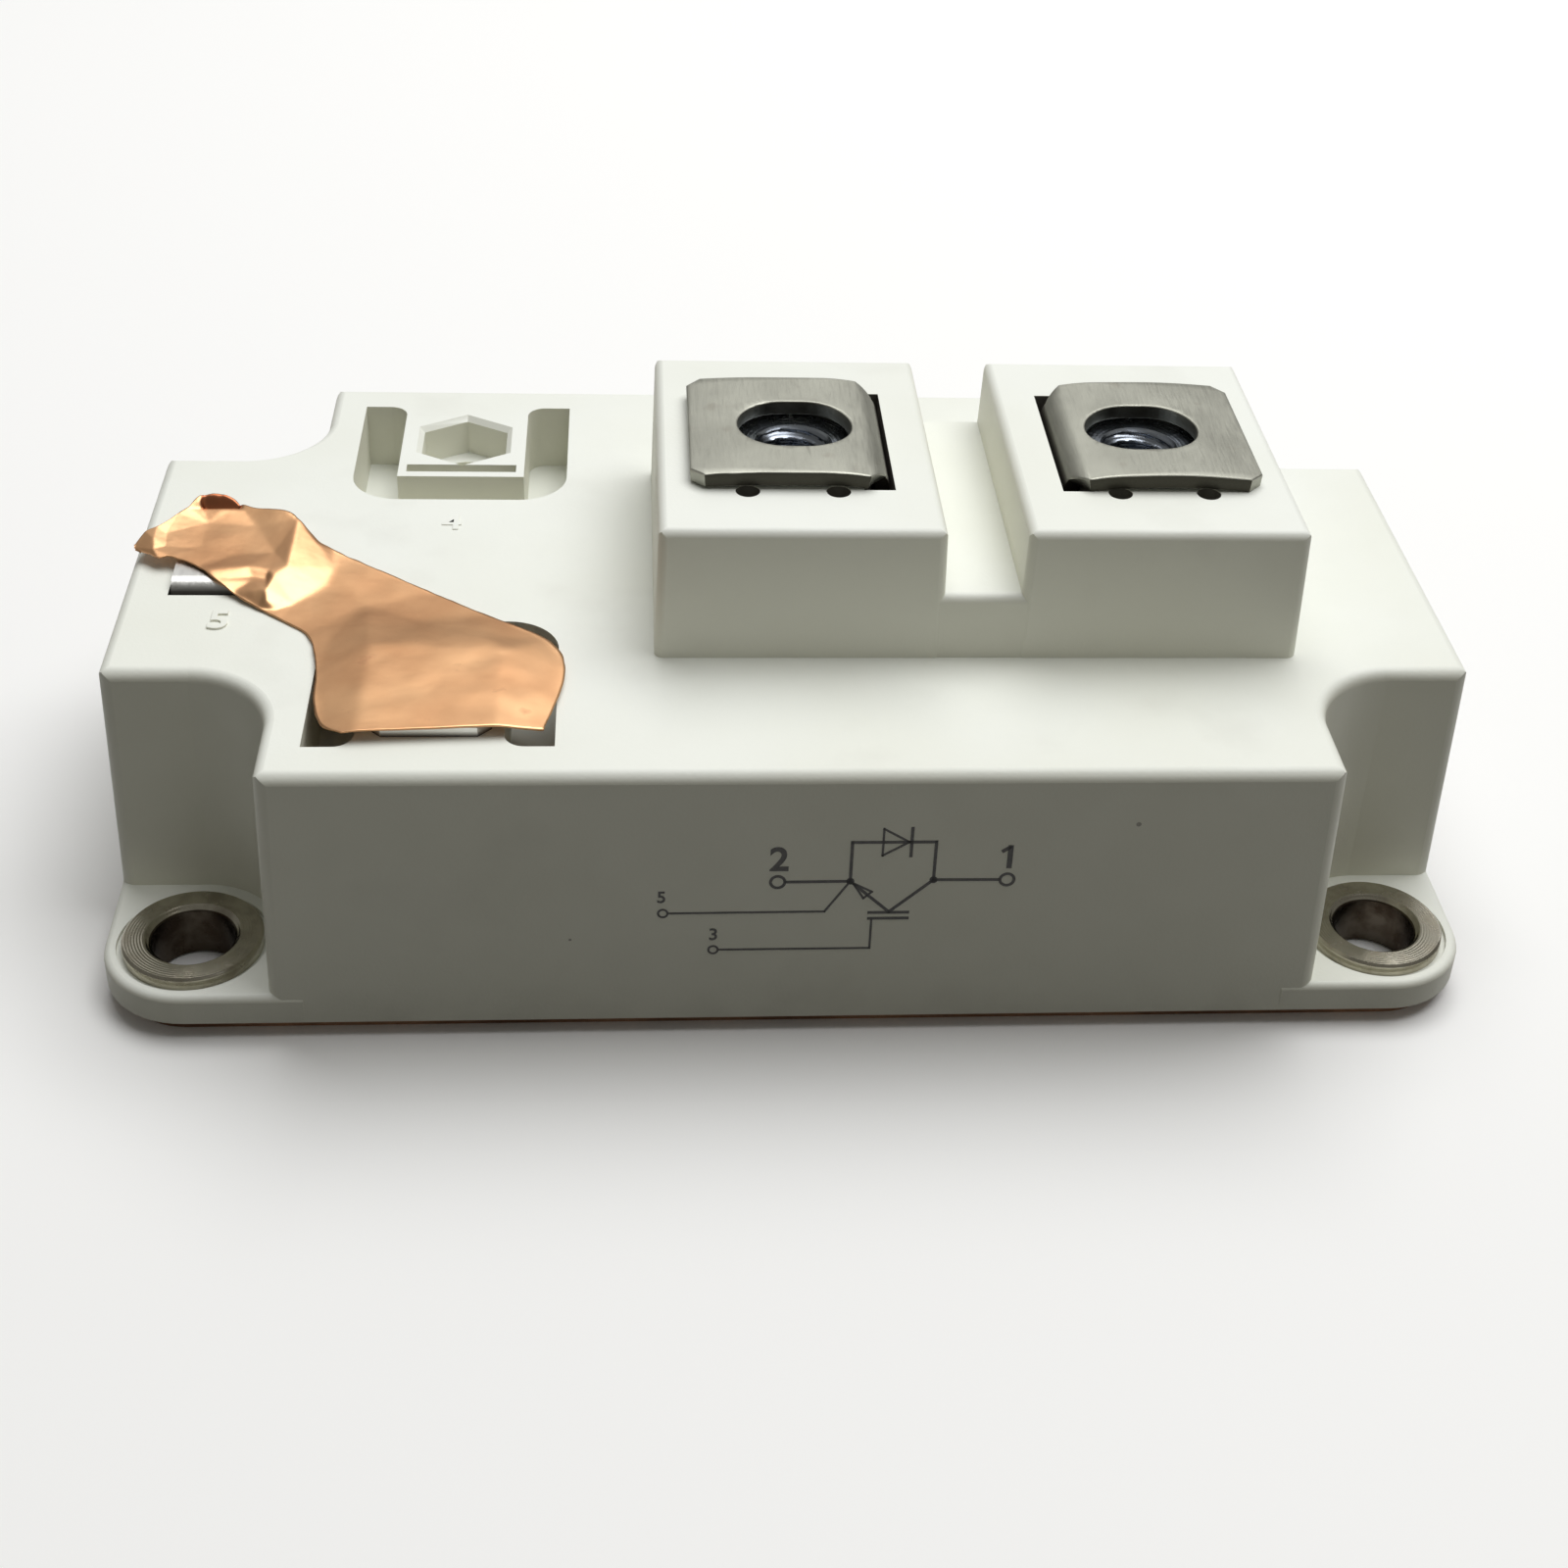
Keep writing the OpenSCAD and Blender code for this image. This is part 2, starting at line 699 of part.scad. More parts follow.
module gate_wires(first) {
    edge = 1;
    start = igbt_y - igbt_w / 2 + edge;
    color("gainsboro") for (index = [first, first + 1]) {
        wire_loop([chip_x[index], (start + gate_y) / 2, wire_z], start - gate_y, 90);
        wire_foot(chip_x[index], gate_y);
    }
}

// Loops that join the islands of one tile to those of the other
module tile_links() {
    reach = 5.4;
    rows = [-20, -16, -15, -14, 16, 17.5, 19, 20.5];
    color("gainsboro") for (y = rows) wire_loop([0, y, chip_z], reach, 0);
}

housing();
base_plate();
bushing(-hole_x, -hole_y);  // bushing_front_left
bushing(hole_x, -hole_y);  // bushing_front_right
bushing(-hole_x, hole_y);  // bushing_rear_left
bushing(hole_x, hole_y);  // bushing_rear_right
main_terminal_1();
main_terminal_2();
main_nut(tower_x[1]);  // main_nut_1
main_nut(tower_x[0]);  // main_nut_2
control_terminal_3();
control_terminal_5();
control_nut(control_x, -control_y);  // control_nut_3
control_nut(end_control_x, 0);  // control_nut_5
shorting_foil();
ceramic(tile_x[0]);  // ceramic_left
ceramic(tile_x[1]);  // ceramic_right
tile_back(tile_x[0]);  // tile_back_left
tile_back(tile_x[1]);  // tile_back_right
collector_copper(tile_x[0], sense_w + sense_gap);  // collector_copper_left
collector_copper(tile_x[1], 0);  // collector_copper_right
emitter_copper(tile_x[0], true);  // emitter_copper_left
emitter_copper(tile_x[1], false);  // emitter_copper_right
gate_copper(tile_x[0]);  // gate_copper_left
gate_copper(tile_x[1]);  // gate_copper_right
igbt_chip(0);  // igbt_chip_1
igbt_chip(1);  // igbt_chip_2
igbt_chip(2);  // igbt_chip_3
igbt_chip(3);  // igbt_chip_4
diode_chip(0);  // diode_chip_1
diode_chip(1);  // diode_chip_2
diode_chip(2);  // diode_chip_3
diode_chip(3);  // diode_chip_4
emitter_wires(0);  // emitter_wires_left
emitter_wires(2);  // emitter_wires_right
gate_wires(0);  // gate_wires_left
gate_wires(2);  // gate_wires_right
tile_links();
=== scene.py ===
# %% [markdown]
# # The looks of a screw-terminal power module
# The frame holds every rigid piece of the module at its true size and place. This lesson adds
# what a shape program leaves out: rounded sheet metal, cut threads, a creased copper strip,
# a printed circuit diagram, moulded numerals and a finish for every material.
# All lengths are in metres, with +Z up, and pieces are placed from the frame's own corners.

# %% Load the frame
import json
import math

import bmesh
import bpy
from mathutils import Matrix, Vector, geometry, noise
from mathutils.bvhtree import BVHTree


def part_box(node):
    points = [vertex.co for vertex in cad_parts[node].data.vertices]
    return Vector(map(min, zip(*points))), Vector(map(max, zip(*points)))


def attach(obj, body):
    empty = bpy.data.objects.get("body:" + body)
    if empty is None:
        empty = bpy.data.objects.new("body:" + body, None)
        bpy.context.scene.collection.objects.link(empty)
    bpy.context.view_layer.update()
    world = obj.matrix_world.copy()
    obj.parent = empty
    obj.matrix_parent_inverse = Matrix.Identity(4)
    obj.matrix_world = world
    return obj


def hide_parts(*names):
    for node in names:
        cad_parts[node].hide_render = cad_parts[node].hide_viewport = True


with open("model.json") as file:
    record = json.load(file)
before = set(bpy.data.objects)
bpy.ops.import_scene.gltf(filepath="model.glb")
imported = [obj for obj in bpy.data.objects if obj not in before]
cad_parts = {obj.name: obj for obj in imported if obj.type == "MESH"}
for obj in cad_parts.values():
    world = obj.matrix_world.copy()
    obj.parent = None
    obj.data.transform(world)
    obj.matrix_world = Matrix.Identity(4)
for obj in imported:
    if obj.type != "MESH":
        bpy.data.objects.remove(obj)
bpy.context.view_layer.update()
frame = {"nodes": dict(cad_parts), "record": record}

MM = 0.001

# %% [markdown]
# ## Step 1: helpers for shader nodes
# A finish is a small network of nodes. One could click it together by hand, but a helper that
# adds a node and fills its inputs in one call keeps each finish short and easy to read.
# A value that is itself an output of another node becomes a link.

# %% Node helpers
def fill(tree, node, plugs):
    """Fills a node's inputs with values or links."""
    for name, value in plugs.items():
        if isinstance(value, bpy.types.NodeSocket):
            tree.links.new(value, node.inputs[name])
        else:
            node.inputs[name].default_value = value


def put(tree, kind, plugs=None, **settings):
    """Adds a node, sets its options, then fills its inputs."""
    node = tree.nodes.new(kind)
    for key, value in settings.items():
        setattr(node, key, value)
    fill(tree, node, plugs or {})
    return node


def sum_up(tree, operation, first, second=0.0, third=0.0):
    """The result of one sum on values or links."""
    return put(tree, "ShaderNodeMath", {0: first, 1: second, 2: third}, operation=operation).outputs[0]


def vector_sum(tree, operation, first, second=(0.0, 0.0, 0.0)):
    """The result of one sum on vectors or links."""
    return put(tree, "ShaderNodeVectorMath", {0: first, 1: second}, operation=operation).outputs[0]


def blend(tree, factor, first, second):
    """A colour between two colours."""
    plugs = {0: factor}
    for index, colour in ((6, first), (7, second)):
        plugs[index] = colour if isinstance(colour, bpy.types.NodeSocket) else (*colour, 1)
    return put(tree, "ShaderNodeMix", plugs, data_type="RGBA").outputs[2]


def ramp(tree, value, low, high, start=0.0, end=1.0):
    """Stretches the stretch from low to high over the range from start to end."""
    plugs = {"Value": value, "From Min": low, "From Max": high, "To Min": start, "To Max": end}
    return put(tree, "ShaderNodeMapRange", plugs, clamp=True).outputs["Result"]


def split(tree, vector):
    """The X, Y and Z of a vector or link."""
    return put(tree, "ShaderNodeSeparateXYZ", {"Vector": vector}).outputs


def facing(tree, axis):
    """How squarely a face looks along an axis, from 0 to 1."""
    normal = tree.nodes.new("ShaderNodeNewGeometry").outputs["Normal"]
    return sum_up(tree, "ABSOLUTE", split(tree, normal)[axis])


def fold(tree, place, middle, half):
    """Folds the plan about its middle, so that places half to each side share one centre."""
    folded = vector_sum(tree, "ABSOLUTE", vector_sum(tree, "SUBTRACT", place, middle))
    return vector_sum(tree, "SUBTRACT", folded, half)


def new_group(name, inputs, outputs):
    """A node group that takes a vector and the inputs, with their first values, and gives values."""
    tree = bpy.data.node_groups.new(name, "ShaderNodeTree")
    tree.interface.new_socket("Vector", in_out="INPUT", socket_type="NodeSocketVector")
    for label, value in inputs.items():
        kind = "NodeSocketVector" if isinstance(value, tuple) else "NodeSocketFloat"
        tree.interface.new_socket(label, in_out="INPUT", socket_type=kind).default_value = value
    for label in outputs:
        tree.interface.new_socket(label, in_out="OUTPUT", socket_type="NodeSocketFloat")
    return tree, tree.nodes.new("NodeGroupInput").outputs, tree.nodes.new("NodeGroupOutput").inputs


def use(tree, group, plugs):
    """Places a node group in a finish and gives back its outputs."""
    return put(tree, "ShaderNodeGroup", plugs, node_tree=group).outputs


# %% [markdown]
# ## Step 2: effects that several finishes share
# Clouds give the slow changes of tone that any surface has. Grain is the fine texture of a
# mould or of cast metal. Brushing is grain pulled out along one direction. Rings are the
# marks of a lathe about an axis. Specks are the few dark points of handling. A box picks out
# a part of a piece by its place, such as the inside of a slot where shade is painted.

# %% Clouds, grain, brushing, rings, specks and box
WIDE_STROKES = 0.22
WAVER = 1.5
WAVER_SCALE = 900.0


def make_clouds():
    tree, given, result = new_group("clouds", {"Size": 0.01, "Low": 0.4, "High": 0.6}, ["Mask"])
    scale = sum_up(tree, "DIVIDE", 1.0, given["Size"])
    cloud = put(tree, "ShaderNodeTexNoise", {"Vector": given["Vector"], "Scale": scale, "Detail": 5.0})
    tree.links.new(ramp(tree, cloud.outputs["Fac"], given["Low"], given["High"]), result["Mask"])
    return tree


def make_grain():
    tree, given, result = new_group("grain", {"Size": 0.0005, "Roughness": 0.6}, ["Height"])
    scale = sum_up(tree, "DIVIDE", 1.0, given["Size"])
    plugs = {"Vector": given["Vector"], "Scale": scale, "Detail": 3.0, "Roughness": given["Roughness"]}
    tree.links.new(put(tree, "ShaderNodeTexNoise", plugs).outputs["Fac"], result["Height"])
    return tree


def make_brushing():
    inputs = {"Stretch": (0.05, 1.0, 1.0), "Size": 0.0002}
    tree, given, result = new_group("brushing", inputs, ["Height", "Wide Height"])
    pulled = vector_sum(tree, "MULTIPLY", given["Vector"], given["Stretch"])
    scale = sum_up(tree, "DIVIDE", 1.0, given["Size"])
    fine = put(tree, "ShaderNodeTexNoise", {"Vector": pulled, "Scale": scale, "Detail": 2.0})
    wide_scale = sum_up(tree, "MULTIPLY", scale, WIDE_STROKES)
    wide = put(tree, "ShaderNodeTexNoise", {"Vector": pulled, "Scale": wide_scale, "Detail": 1.0})
    tree.links.new(fine.outputs["Fac"], result["Height"])
    tree.links.new(wide.outputs["Fac"], result["Wide Height"])
    return tree


def make_rings():
    tree, given, result = new_group("rings", {"Pitch": 0.0002}, ["Height", "Radius"])
    parts = split(tree, given["Vector"])
    across = sum_up(tree, "MULTIPLY", parts["X"], parts["X"])
    square = sum_up(tree, "MULTIPLY_ADD", parts["Y"], parts["Y"], across)
    radius = sum_up(tree, "SQRT", square)
    turn = sum_up(tree, "DIVIDE", radius, given["Pitch"])
    plugs = {"Vector": given["Vector"], "Scale": WAVER_SCALE, "Detail": 1.0}
    uneven = put(tree, "ShaderNodeTexNoise", plugs).outputs["Fac"]
    angle = sum_up(tree, "MULTIPLY", turn, 2 * math.pi)
    phase = sum_up(tree, "MULTIPLY_ADD", uneven, WAVER, angle)
    wave = sum_up(tree, "SINE", phase)
    tree.links.new(sum_up(tree, "MULTIPLY_ADD", wave, 0.5, 0.5), result["Height"])
    tree.links.new(radius, result["Radius"])
    return tree


def make_specks():
    inputs = {"Spacing": 0.004, "Share": 0.15, "Size": 0.06}
    tree, given, result = new_group("specks", inputs, ["Mask"])
    scale = sum_up(tree, "DIVIDE", 1.0, given["Spacing"])
    cells = put(tree, "ShaderNodeTexVoronoi", {"Vector": given["Vector"], "Scale": scale})
    pick = put(tree, "ShaderNodeSeparateColor", {"Color": cells.outputs["Color"]})
    chosen = sum_up(tree, "LESS_THAN", pick.outputs[0], given["Share"])
    size = sum_up(tree, "MULTIPLY", pick.outputs[1], given["Size"])
    near = sum_up(tree, "LESS_THAN", cells.outputs["Distance"], size)
    tree.links.new(sum_up(tree, "MULTIPLY", chosen, near), result["Mask"])
    return tree


def make_box():
    tree, given, result = new_group("box", {"Low": (0, 0, 0), "High": (1, 1, 1)}, ["Mask"])
    over = vector_sum(tree, "SUBTRACT", given["Vector"], given["Low"])
    under = vector_sum(tree, "SUBTRACT", given["High"], given["Vector"])
    inner = split(tree, vector_sum(tree, "MINIMUM", over, under))
    least = sum_up(tree, "MINIMUM", inner["X"], sum_up(tree, "MINIMUM", inner["Y"], inner["Z"]))
    tree.links.new(sum_up(tree, "GREATER_THAN", least, 0.0), result["Mask"])
    return tree


box = make_box()
clouds = make_clouds()
grain = make_grain()
brushing = make_brushing()
rings = make_rings()
specks = make_specks()
print("shared effects", [tree.name for tree in bpy.data.node_groups])

# %% [markdown]
# ## Step 3: the moulded plastic
# The housing is a pale thermoplastic with a slight yellow cast. A single colour would look like a toy,
# so two near tones are mixed by broad clouds, and faces that stand upright get painted shade in a
# darker, yellower tone. The foot gets painted shade that grows greyer towards the floor, the nut seats,
# the tab groove and the dimples are painted near-black as painted shade, handling leaves grey smudges
# and dark specks, and a very fine grain from the eroded mould breaks up the light.

# %% Finish helpers and the housing's finish
def new_finish(name):
    """A material with only a Principled shader, its node tree and the object's own coordinates."""
    material = bpy.data.materials.new(name)
    material.use_nodes = True
    tree = material.node_tree
    shader = next(n for n in tree.nodes if n.type == "BSDF_PRINCIPLED")
    place = tree.nodes.new("ShaderNodeTexCoord").outputs["Object"]
    return material, tree, shader, place


def patches(tree, place, size, low, high):
    """Slow changes of tone, a mask from 0 to 1; a higher low leaves fewer patches."""
    return use(tree, clouds, {"Vector": place, "Size": size, "Low": low, "High": high})["Mask"]


def texture(tree, place, size, rough):
    """The height of a fine grain."""
    return use(tree, grain, {"Vector": place, "Size": size, "Roughness": rough})["Height"]


def tint(tree, base, colour, mask, share):
    """Lays a colour over the base where the mask is, as strongly as share says."""
    return blend(tree, sum_up(tree, "MULTIPLY", mask, share), base, colour)


def bump(tree, height, distance, below=None):
    """Turns a height into a normal; below is a normal that this one is laid over."""
    plugs = {"Height": height, "Distance": distance, "Strength": 1.0}
    if below is not None:
        plugs["Normal"] = below
    return put(tree, "ShaderNodeBump", plugs).outputs["Normal"]


HOUSING_CLEAN = (0.885, 0.905, 0.85)
HOUSING_AGED = (0.835, 0.85, 0.77)
HOUSING_WALL_SHADE = (0.76, 0.75, 0.635)
WALL_SHADE_SHARE = 0.75
SMUDGE_AND_SHADE_GREY = (0.42, 0.40, 0.35)
SPECK_DARK = (0.16, 0.14, 0.12)
RECESS_SHADE = (0.06, 0.052, 0.045)
FOOT_SHADE_HEIGHT = 5 * MM
NUT_MIDDLE = (14 * MM, 0, 0)
NUT_HALF = (14 * MM, 0, 0)
NEST_LOW = (-9.4 * MM, -8.4 * MM, 26 * MM)
NEST_HIGH = (9.4 * MM, 9.9 * MM, 34.93 * MM)
DIMPLE_LOW = (-9.4 * MM, -9.9 * MM, 26 * MM)
DIMPLE_HIGH = (9.4 * MM, -8.4 * MM, 34.93 * MM)
DIMPLE_SHADE_SHARE = 0.6
GROOVE_LOW = (-49.3 * MM, -6.1 * MM, 10 * MM)
GROOVE_HIGH = (-39.7 * MM, -3.0 * MM, 23.86 * MM)


def housing_finish():
    material, tree, shader, place = new_finish("housing_plastic")
    tone = patches(tree, place, size=0.03, low=0.35, high=0.7)
    base = blend(tree, tone, HOUSING_CLEAN, HOUSING_AGED)
    # Painted shade: faces that stand upright are painted darker and yellower than the top.
    wall = ramp(tree, facing(tree, "Z"), 0.3, 0.9, WALL_SHADE_SHARE, 0.0)
    base = blend(tree, wall, base, HOUSING_WALL_SHADE)
    height = split(tree, place)["Z"]
    # Painted shade: the housing is painted greyer in patches towards the foot. The same grey also marks
    # real handling smudges.
    low = ramp(tree, height, 0.0, FOOT_SHADE_HEIGHT, 0.35, 0.0)
    patchy = patches(tree, place, size=0.006, low=0.4, high=0.75)
    base = tint(tree, base, SMUDGE_AND_SHADE_GREY, low, patchy)
    smudge = patches(tree, place, size=0.009, low=0.60, high=0.85)
    base = tint(tree, base, SMUDGE_AND_SHADE_GREY, smudge, 0.14)
    point = use(tree, specks, {"Vector": place, "Spacing": 0.006, "Share": 0.10, "Size": 0.035})["Mask"]
    base = tint(tree, base, SPECK_DARK, point, 0.7)
    along = vector_sum(tree, "MULTIPLY", fold(tree, place, NUT_MIDDLE, NUT_HALF), (1, 0, 0))
    at_tower = vector_sum(tree, "ADD", along, vector_sum(tree, "MULTIPLY", place, (0, 1, 1)))
    # Painted shade: the nut seats, the tab groove and the dimples are painted near-black where shade falls
    # inside them.
    nest = use(tree, box, {"Vector": at_tower, "Low": NEST_LOW, "High": NEST_HIGH})["Mask"]
    groove = use(tree, box, {"Vector": place, "Low": GROOVE_LOW, "High": GROOVE_HIGH})["Mask"]
    dimples = use(tree, box, {"Vector": at_tower, "Low": DIMPLE_LOW, "High": DIMPLE_HIGH})["Mask"]
    recess_shade_mask = sum_up(tree, "MAXIMUM", nest, groove)
    recess_shade_mask = sum_up(tree, "MAXIMUM", recess_shade_mask, sum_up(tree, "MULTIPLY", dimples, DIMPLE_SHADE_SHARE))
    recess_shade_mask = sum_up(tree, "MULTIPLY", recess_shade_mask, ramp(tree, patchy, 0.0, 1.0, 0.82, 0.95))
    base = blend(tree, recess_shade_mask, base, RECESS_SHADE)
    fine = texture(tree, place, size=0.0003, rough=0.6)
    wavy = patches(tree, place, size=0.012, low=0.3, high=0.7)
    normal = bump(tree, fine, 0.012 * MM, bump(tree, wavy, 0.03 * MM))
    fill(tree, shader, {
        "Base Color": base, "Roughness": ramp(tree, patchy, 0.0, 1.0, 0.42, 0.54), "Normal": normal,
        "IOR": 1.5, "Specular IOR Level": 0.42})
    return material


# %% [markdown]
# ## Step 4: the metals
# Nickel on the terminals is satin and brushed across the strip. Its punched edges are painted
# near-black, partly as bare cut metal and partly as painted shade, and the sheet gets painted shade
# where it runs down into its slot. Zinc on the nuts is bluish and brighter. The bushings are turned,
# so their marks run round each mounting hole, and their bores are stained: folding the plane with
# absolute values brings all four holes onto one centre. Copper comes in two states, bright thin strip
# and dull brown plate.

# %% Finishes of the sheet metal, nuts and bushings
NICKEL_LIGHT = (0.425, 0.426, 0.37)
NICKEL_DARK = (0.335, 0.335, 0.29)
NICKEL_STAIN = (0.24, 0.21, 0.17)
CUT_EDGE_AND_SHADE = (0.045, 0.042, 0.032)
TAB_LIT_LIGHT = (0.92, 0.92, 0.90)
TAB_LIT_DARK = (0.78, 0.77, 0.74)
ZINC_LIGHT = (0.56, 0.61, 0.68)
ZINC_DARK = (0.30, 0.33, 0.38)
STEEL_LIGHT = (0.56, 0.53, 0.44)
STEEL_DARK = (0.33, 0.30, 0.235)
BORE_RUST = (0.05, 0.034, 0.022)
BORE_RADIUS = 3.3 * MM


def nickel_finish(name, light, dark, cut_shade_share, pull, rough_low, rough_high, rim):
    """Plated sheet: brushed faces, punched edges painted darker by a share, partly bare cut metal and
    partly painted shade, and painted shade below the slot's rim.
    """
    material, tree, shader, place = new_finish(name)
    strokes = use(tree, brushing, {"Vector": place, "Stretch": (1.0, pull, 1.0), "Size": 0.00012})
    tone = patches(tree, place, size=0.006, low=0.35, high=0.7)
    base = blend(tree, tone, light, dark)
    stain = patches(tree, place, size=0.0025, low=0.62, high=0.82)
    base = tint(tree, base, NICKEL_STAIN, stain, 0.6)
    # Punched edges, the faces that look along Y, are painted near-black: partly bare cut metal, partly
    # painted shade.
    base = blend(tree, ramp(tree, facing(tree, "Y"), 0.75, 0.95, 0.0, cut_shade_share), base, CUT_EDGE_AND_SHADE)
    height = split(tree, place)["Z"]
    # Painted shade: the sheet is painted near-black below the rim, where it runs down into its slot.
    base = blend(tree, ramp(tree, height, rim - 0.35 * MM, rim + 0.1 * MM, 0.88, 0.0), base, RECESS_SHADE)
    rough = ramp(tree, strokes["Height"], 0.3, 0.7, rough_low, rough_high)
    fine = texture(tree, place, size=0.00025, rough=0.7)
    broad = bump(tree, strokes["Wide Height"], 0.006 * MM, bump(tree, fine, 0.004 * MM))
    normal = bump(tree, strokes["Height"], 0.004 * MM, broad)
    fill(tree, shader, {"Base Color": base, "Metallic": 1.0, "Roughness": rough, "Normal": normal})
    return material


def turned_finish(name, light, dark, middle, half, pitch, depth, bore, bore_colour):
    """Turned metal whose axes stand at middle plus or minus half, its bore stained."""
    material, tree, shader, place = new_finish(name)
    marks = use(tree, rings, {"Vector": fold(tree, place, middle, half), "Pitch": pitch})
    tone = patches(tree, place, size=0.0022, low=0.4, high=0.68)
    base = blend(tree, tone, light, dark)
    inside = sum_up(tree, "LESS_THAN", marks["Radius"], bore)
    stained = sum_up(tree, "MULTIPLY", inside, ramp(tree, tone, 0.0, 1.0, 0.88, 1.0))
    base = blend(tree, stained, base, bore_colour)
    fine = texture(tree, place, size=0.0002, rough=0.7)
    normal = bump(tree, marks["Height"], depth, bump(tree, fine, 0.004 * MM))
    rough = ramp(tree, tone, 0.0, 1.0, 0.18, 0.33)
    fill(tree, shader, {"Base Color": base, "Metallic": 1.0, "Roughness": rough, "Normal": normal})
    return material


# %% Finishes of the copper
STRIP_LIGHT = (0.81, 0.475, 0.25)
STRIP_DARK = (0.71, 0.385, 0.195)
CURL_TARNISH_AND_SHADE = (0.42, 0.13, 0.06)
CURL_LOW = (-48.1 * MM, 5.25 * MM, 24.6 * MM)
CURL_HIGH = (-44.7 * MM, 6.3 * MM, 26.6 * MM)
STRIP_TARNISH = (0.30, 0.12, 0.07)
PLATE_LIGHT = (0.50, 0.30, 0.19)
PLATE_DARK = (0.24, 0.13, 0.08)
ISLAND_LIGHT = (0.80, 0.50, 0.36)
ISLAND_DARK = (0.60, 0.34, 0.24)


def copper_finish(name, light, dark, tarnish, size, share, rough_low, rough_high, depth):
    """Copper in two tones, with tarnish in spots, tarnish and painted shade inside the curl, and fine
    creases or grain.
    """
    material, tree, shader, place = new_finish(name)
    tone = patches(tree, place, size=size, low=0.35, high=0.65)
    base = blend(tree, tone, light, dark)
    spots = patches(tree, place, size=size * 0.4, low=1 - share, high=1.02 - share * 0.5)
    base = tint(tree, base, tarnish, spots, 0.75)
    # Inside the curl the copper is painted dark red: partly tarnish, partly painted shade.
    curl = use(tree, box, {"Vector": place, "Low": CURL_LOW, "High": CURL_HIGH})["Mask"]
    base = tint(tree, base, CURL_TARNISH_AND_SHADE, curl, 0.85)
    strokes = use(tree, brushing, {"Vector": place, "Stretch": (0.25, 1.0, 1.0), "Size": 0.0004})
    fine = texture(tree, place, size=0.0009, rough=0.55)
    normal = bump(tree, strokes["Height"], depth * 0.4, bump(tree, fine, depth))
    rough = ramp(tree, spots, 0.0, 1.0, rough_low, rough_high)
    fill(tree, shader, {"Base Color": base, "Metallic": 1.0, "Roughness": rough, "Normal": normal})
    return material


# %% [markdown]
# ## Step 5: what is inside, and the ink
# The tiles under the terminals are ground ceramic with copper islands, silicon chips and drawn
# aluminium wire. None of it shows once the housing is on, but it is finished all the same,
# so that the housing can be lifted off. The ink of the diagram is a flat near-black.

# %% Finishes of ceramic, chips, wire and ink
def ceramic_finish():
    material, tree, shader, place = new_finish("ceramic_ground")
    tone = patches(tree, place, size=0.004, low=0.4, high=0.7)
    fine = texture(tree, place, size=0.0002, rough=0.8)
    fill(tree, shader, {
        "Base Color": blend(tree, tone, (0.88, 0.88, 0.85), (0.80, 0.80, 0.76)),
        "Roughness": ramp(tree, tone, 0.0, 1.0, 0.55, 0.7), "Normal": bump(tree, fine, 0.01 * MM)})
    return material


def chip_finish():
    material, tree, shader, place = new_finish("chip_silicon")
    cells = put(tree, "ShaderNodeTexBrick", {
        "Vector": place, "Scale": 1.0, "Mortar Size": 0.00004, "Brick Width": 0.0011, "Row Height": 0.0022,
        "Color1": (0.33, 0.34, 0.38, 1), "Color2": (0.29, 0.30, 0.35, 1),
        "Mortar": (0.10, 0.10, 0.13, 1)}, offset=0.0)
    tone = patches(tree, place, size=0.003, low=0.3, high=0.7)
    dim = blend(tree, sum_up(tree, "MULTIPLY", tone, 0.4), (0.0, 0.0, 0.0), (0.20, 0.21, 0.25))
    plugs = {0: 0.5, 6: cells.outputs["Color"], 7: dim}
    base = put(tree, "ShaderNodeMix", plugs, data_type="RGBA", blend_type="ADD").outputs[2]
    rough = ramp(tree, tone, 0.0, 1.0, 0.2, 0.32)
    fill(tree, shader, {"Base Color": base, "Metallic": 0.8, "Roughness": rough})
    return material


def wire_finish():
    material, tree, shader, place = new_finish("wire_aluminium")
    tone = patches(tree, place, size=0.0012, low=0.35, high=0.7)
    strokes = use(tree, brushing, {"Vector": place, "Stretch": (1.0, 0.1, 1.0), "Size": 0.00008})
    fill(tree, shader, {
        "Base Color": blend(tree, tone, (0.84, 0.84, 0.83), (0.68, 0.68, 0.67)), "Metallic": 1.0,
        "Roughness": ramp(tree, strokes["Height"], 0.3, 0.7, 0.3, 0.45),
        "Normal": bump(tree, strokes["Height"], 0.003 * MM)})
    return material


def ink_finish():
    material, tree, shader, place = new_finish("print_ink")
    tone = patches(tree, place, size=0.0015, low=0.4, high=0.75)
    fine = texture(tree, place, size=0.00015, rough=0.7)
    fill(tree, shader, {
        "Base Color": blend(tree, tone, (0.035, 0.034, 0.033), (0.075, 0.072, 0.068)),
        "Roughness": ramp(tree, fine, 0.3, 0.7, 0.45, 0.62), "Normal": bump(tree, fine, 0.01 * MM)})
    return material


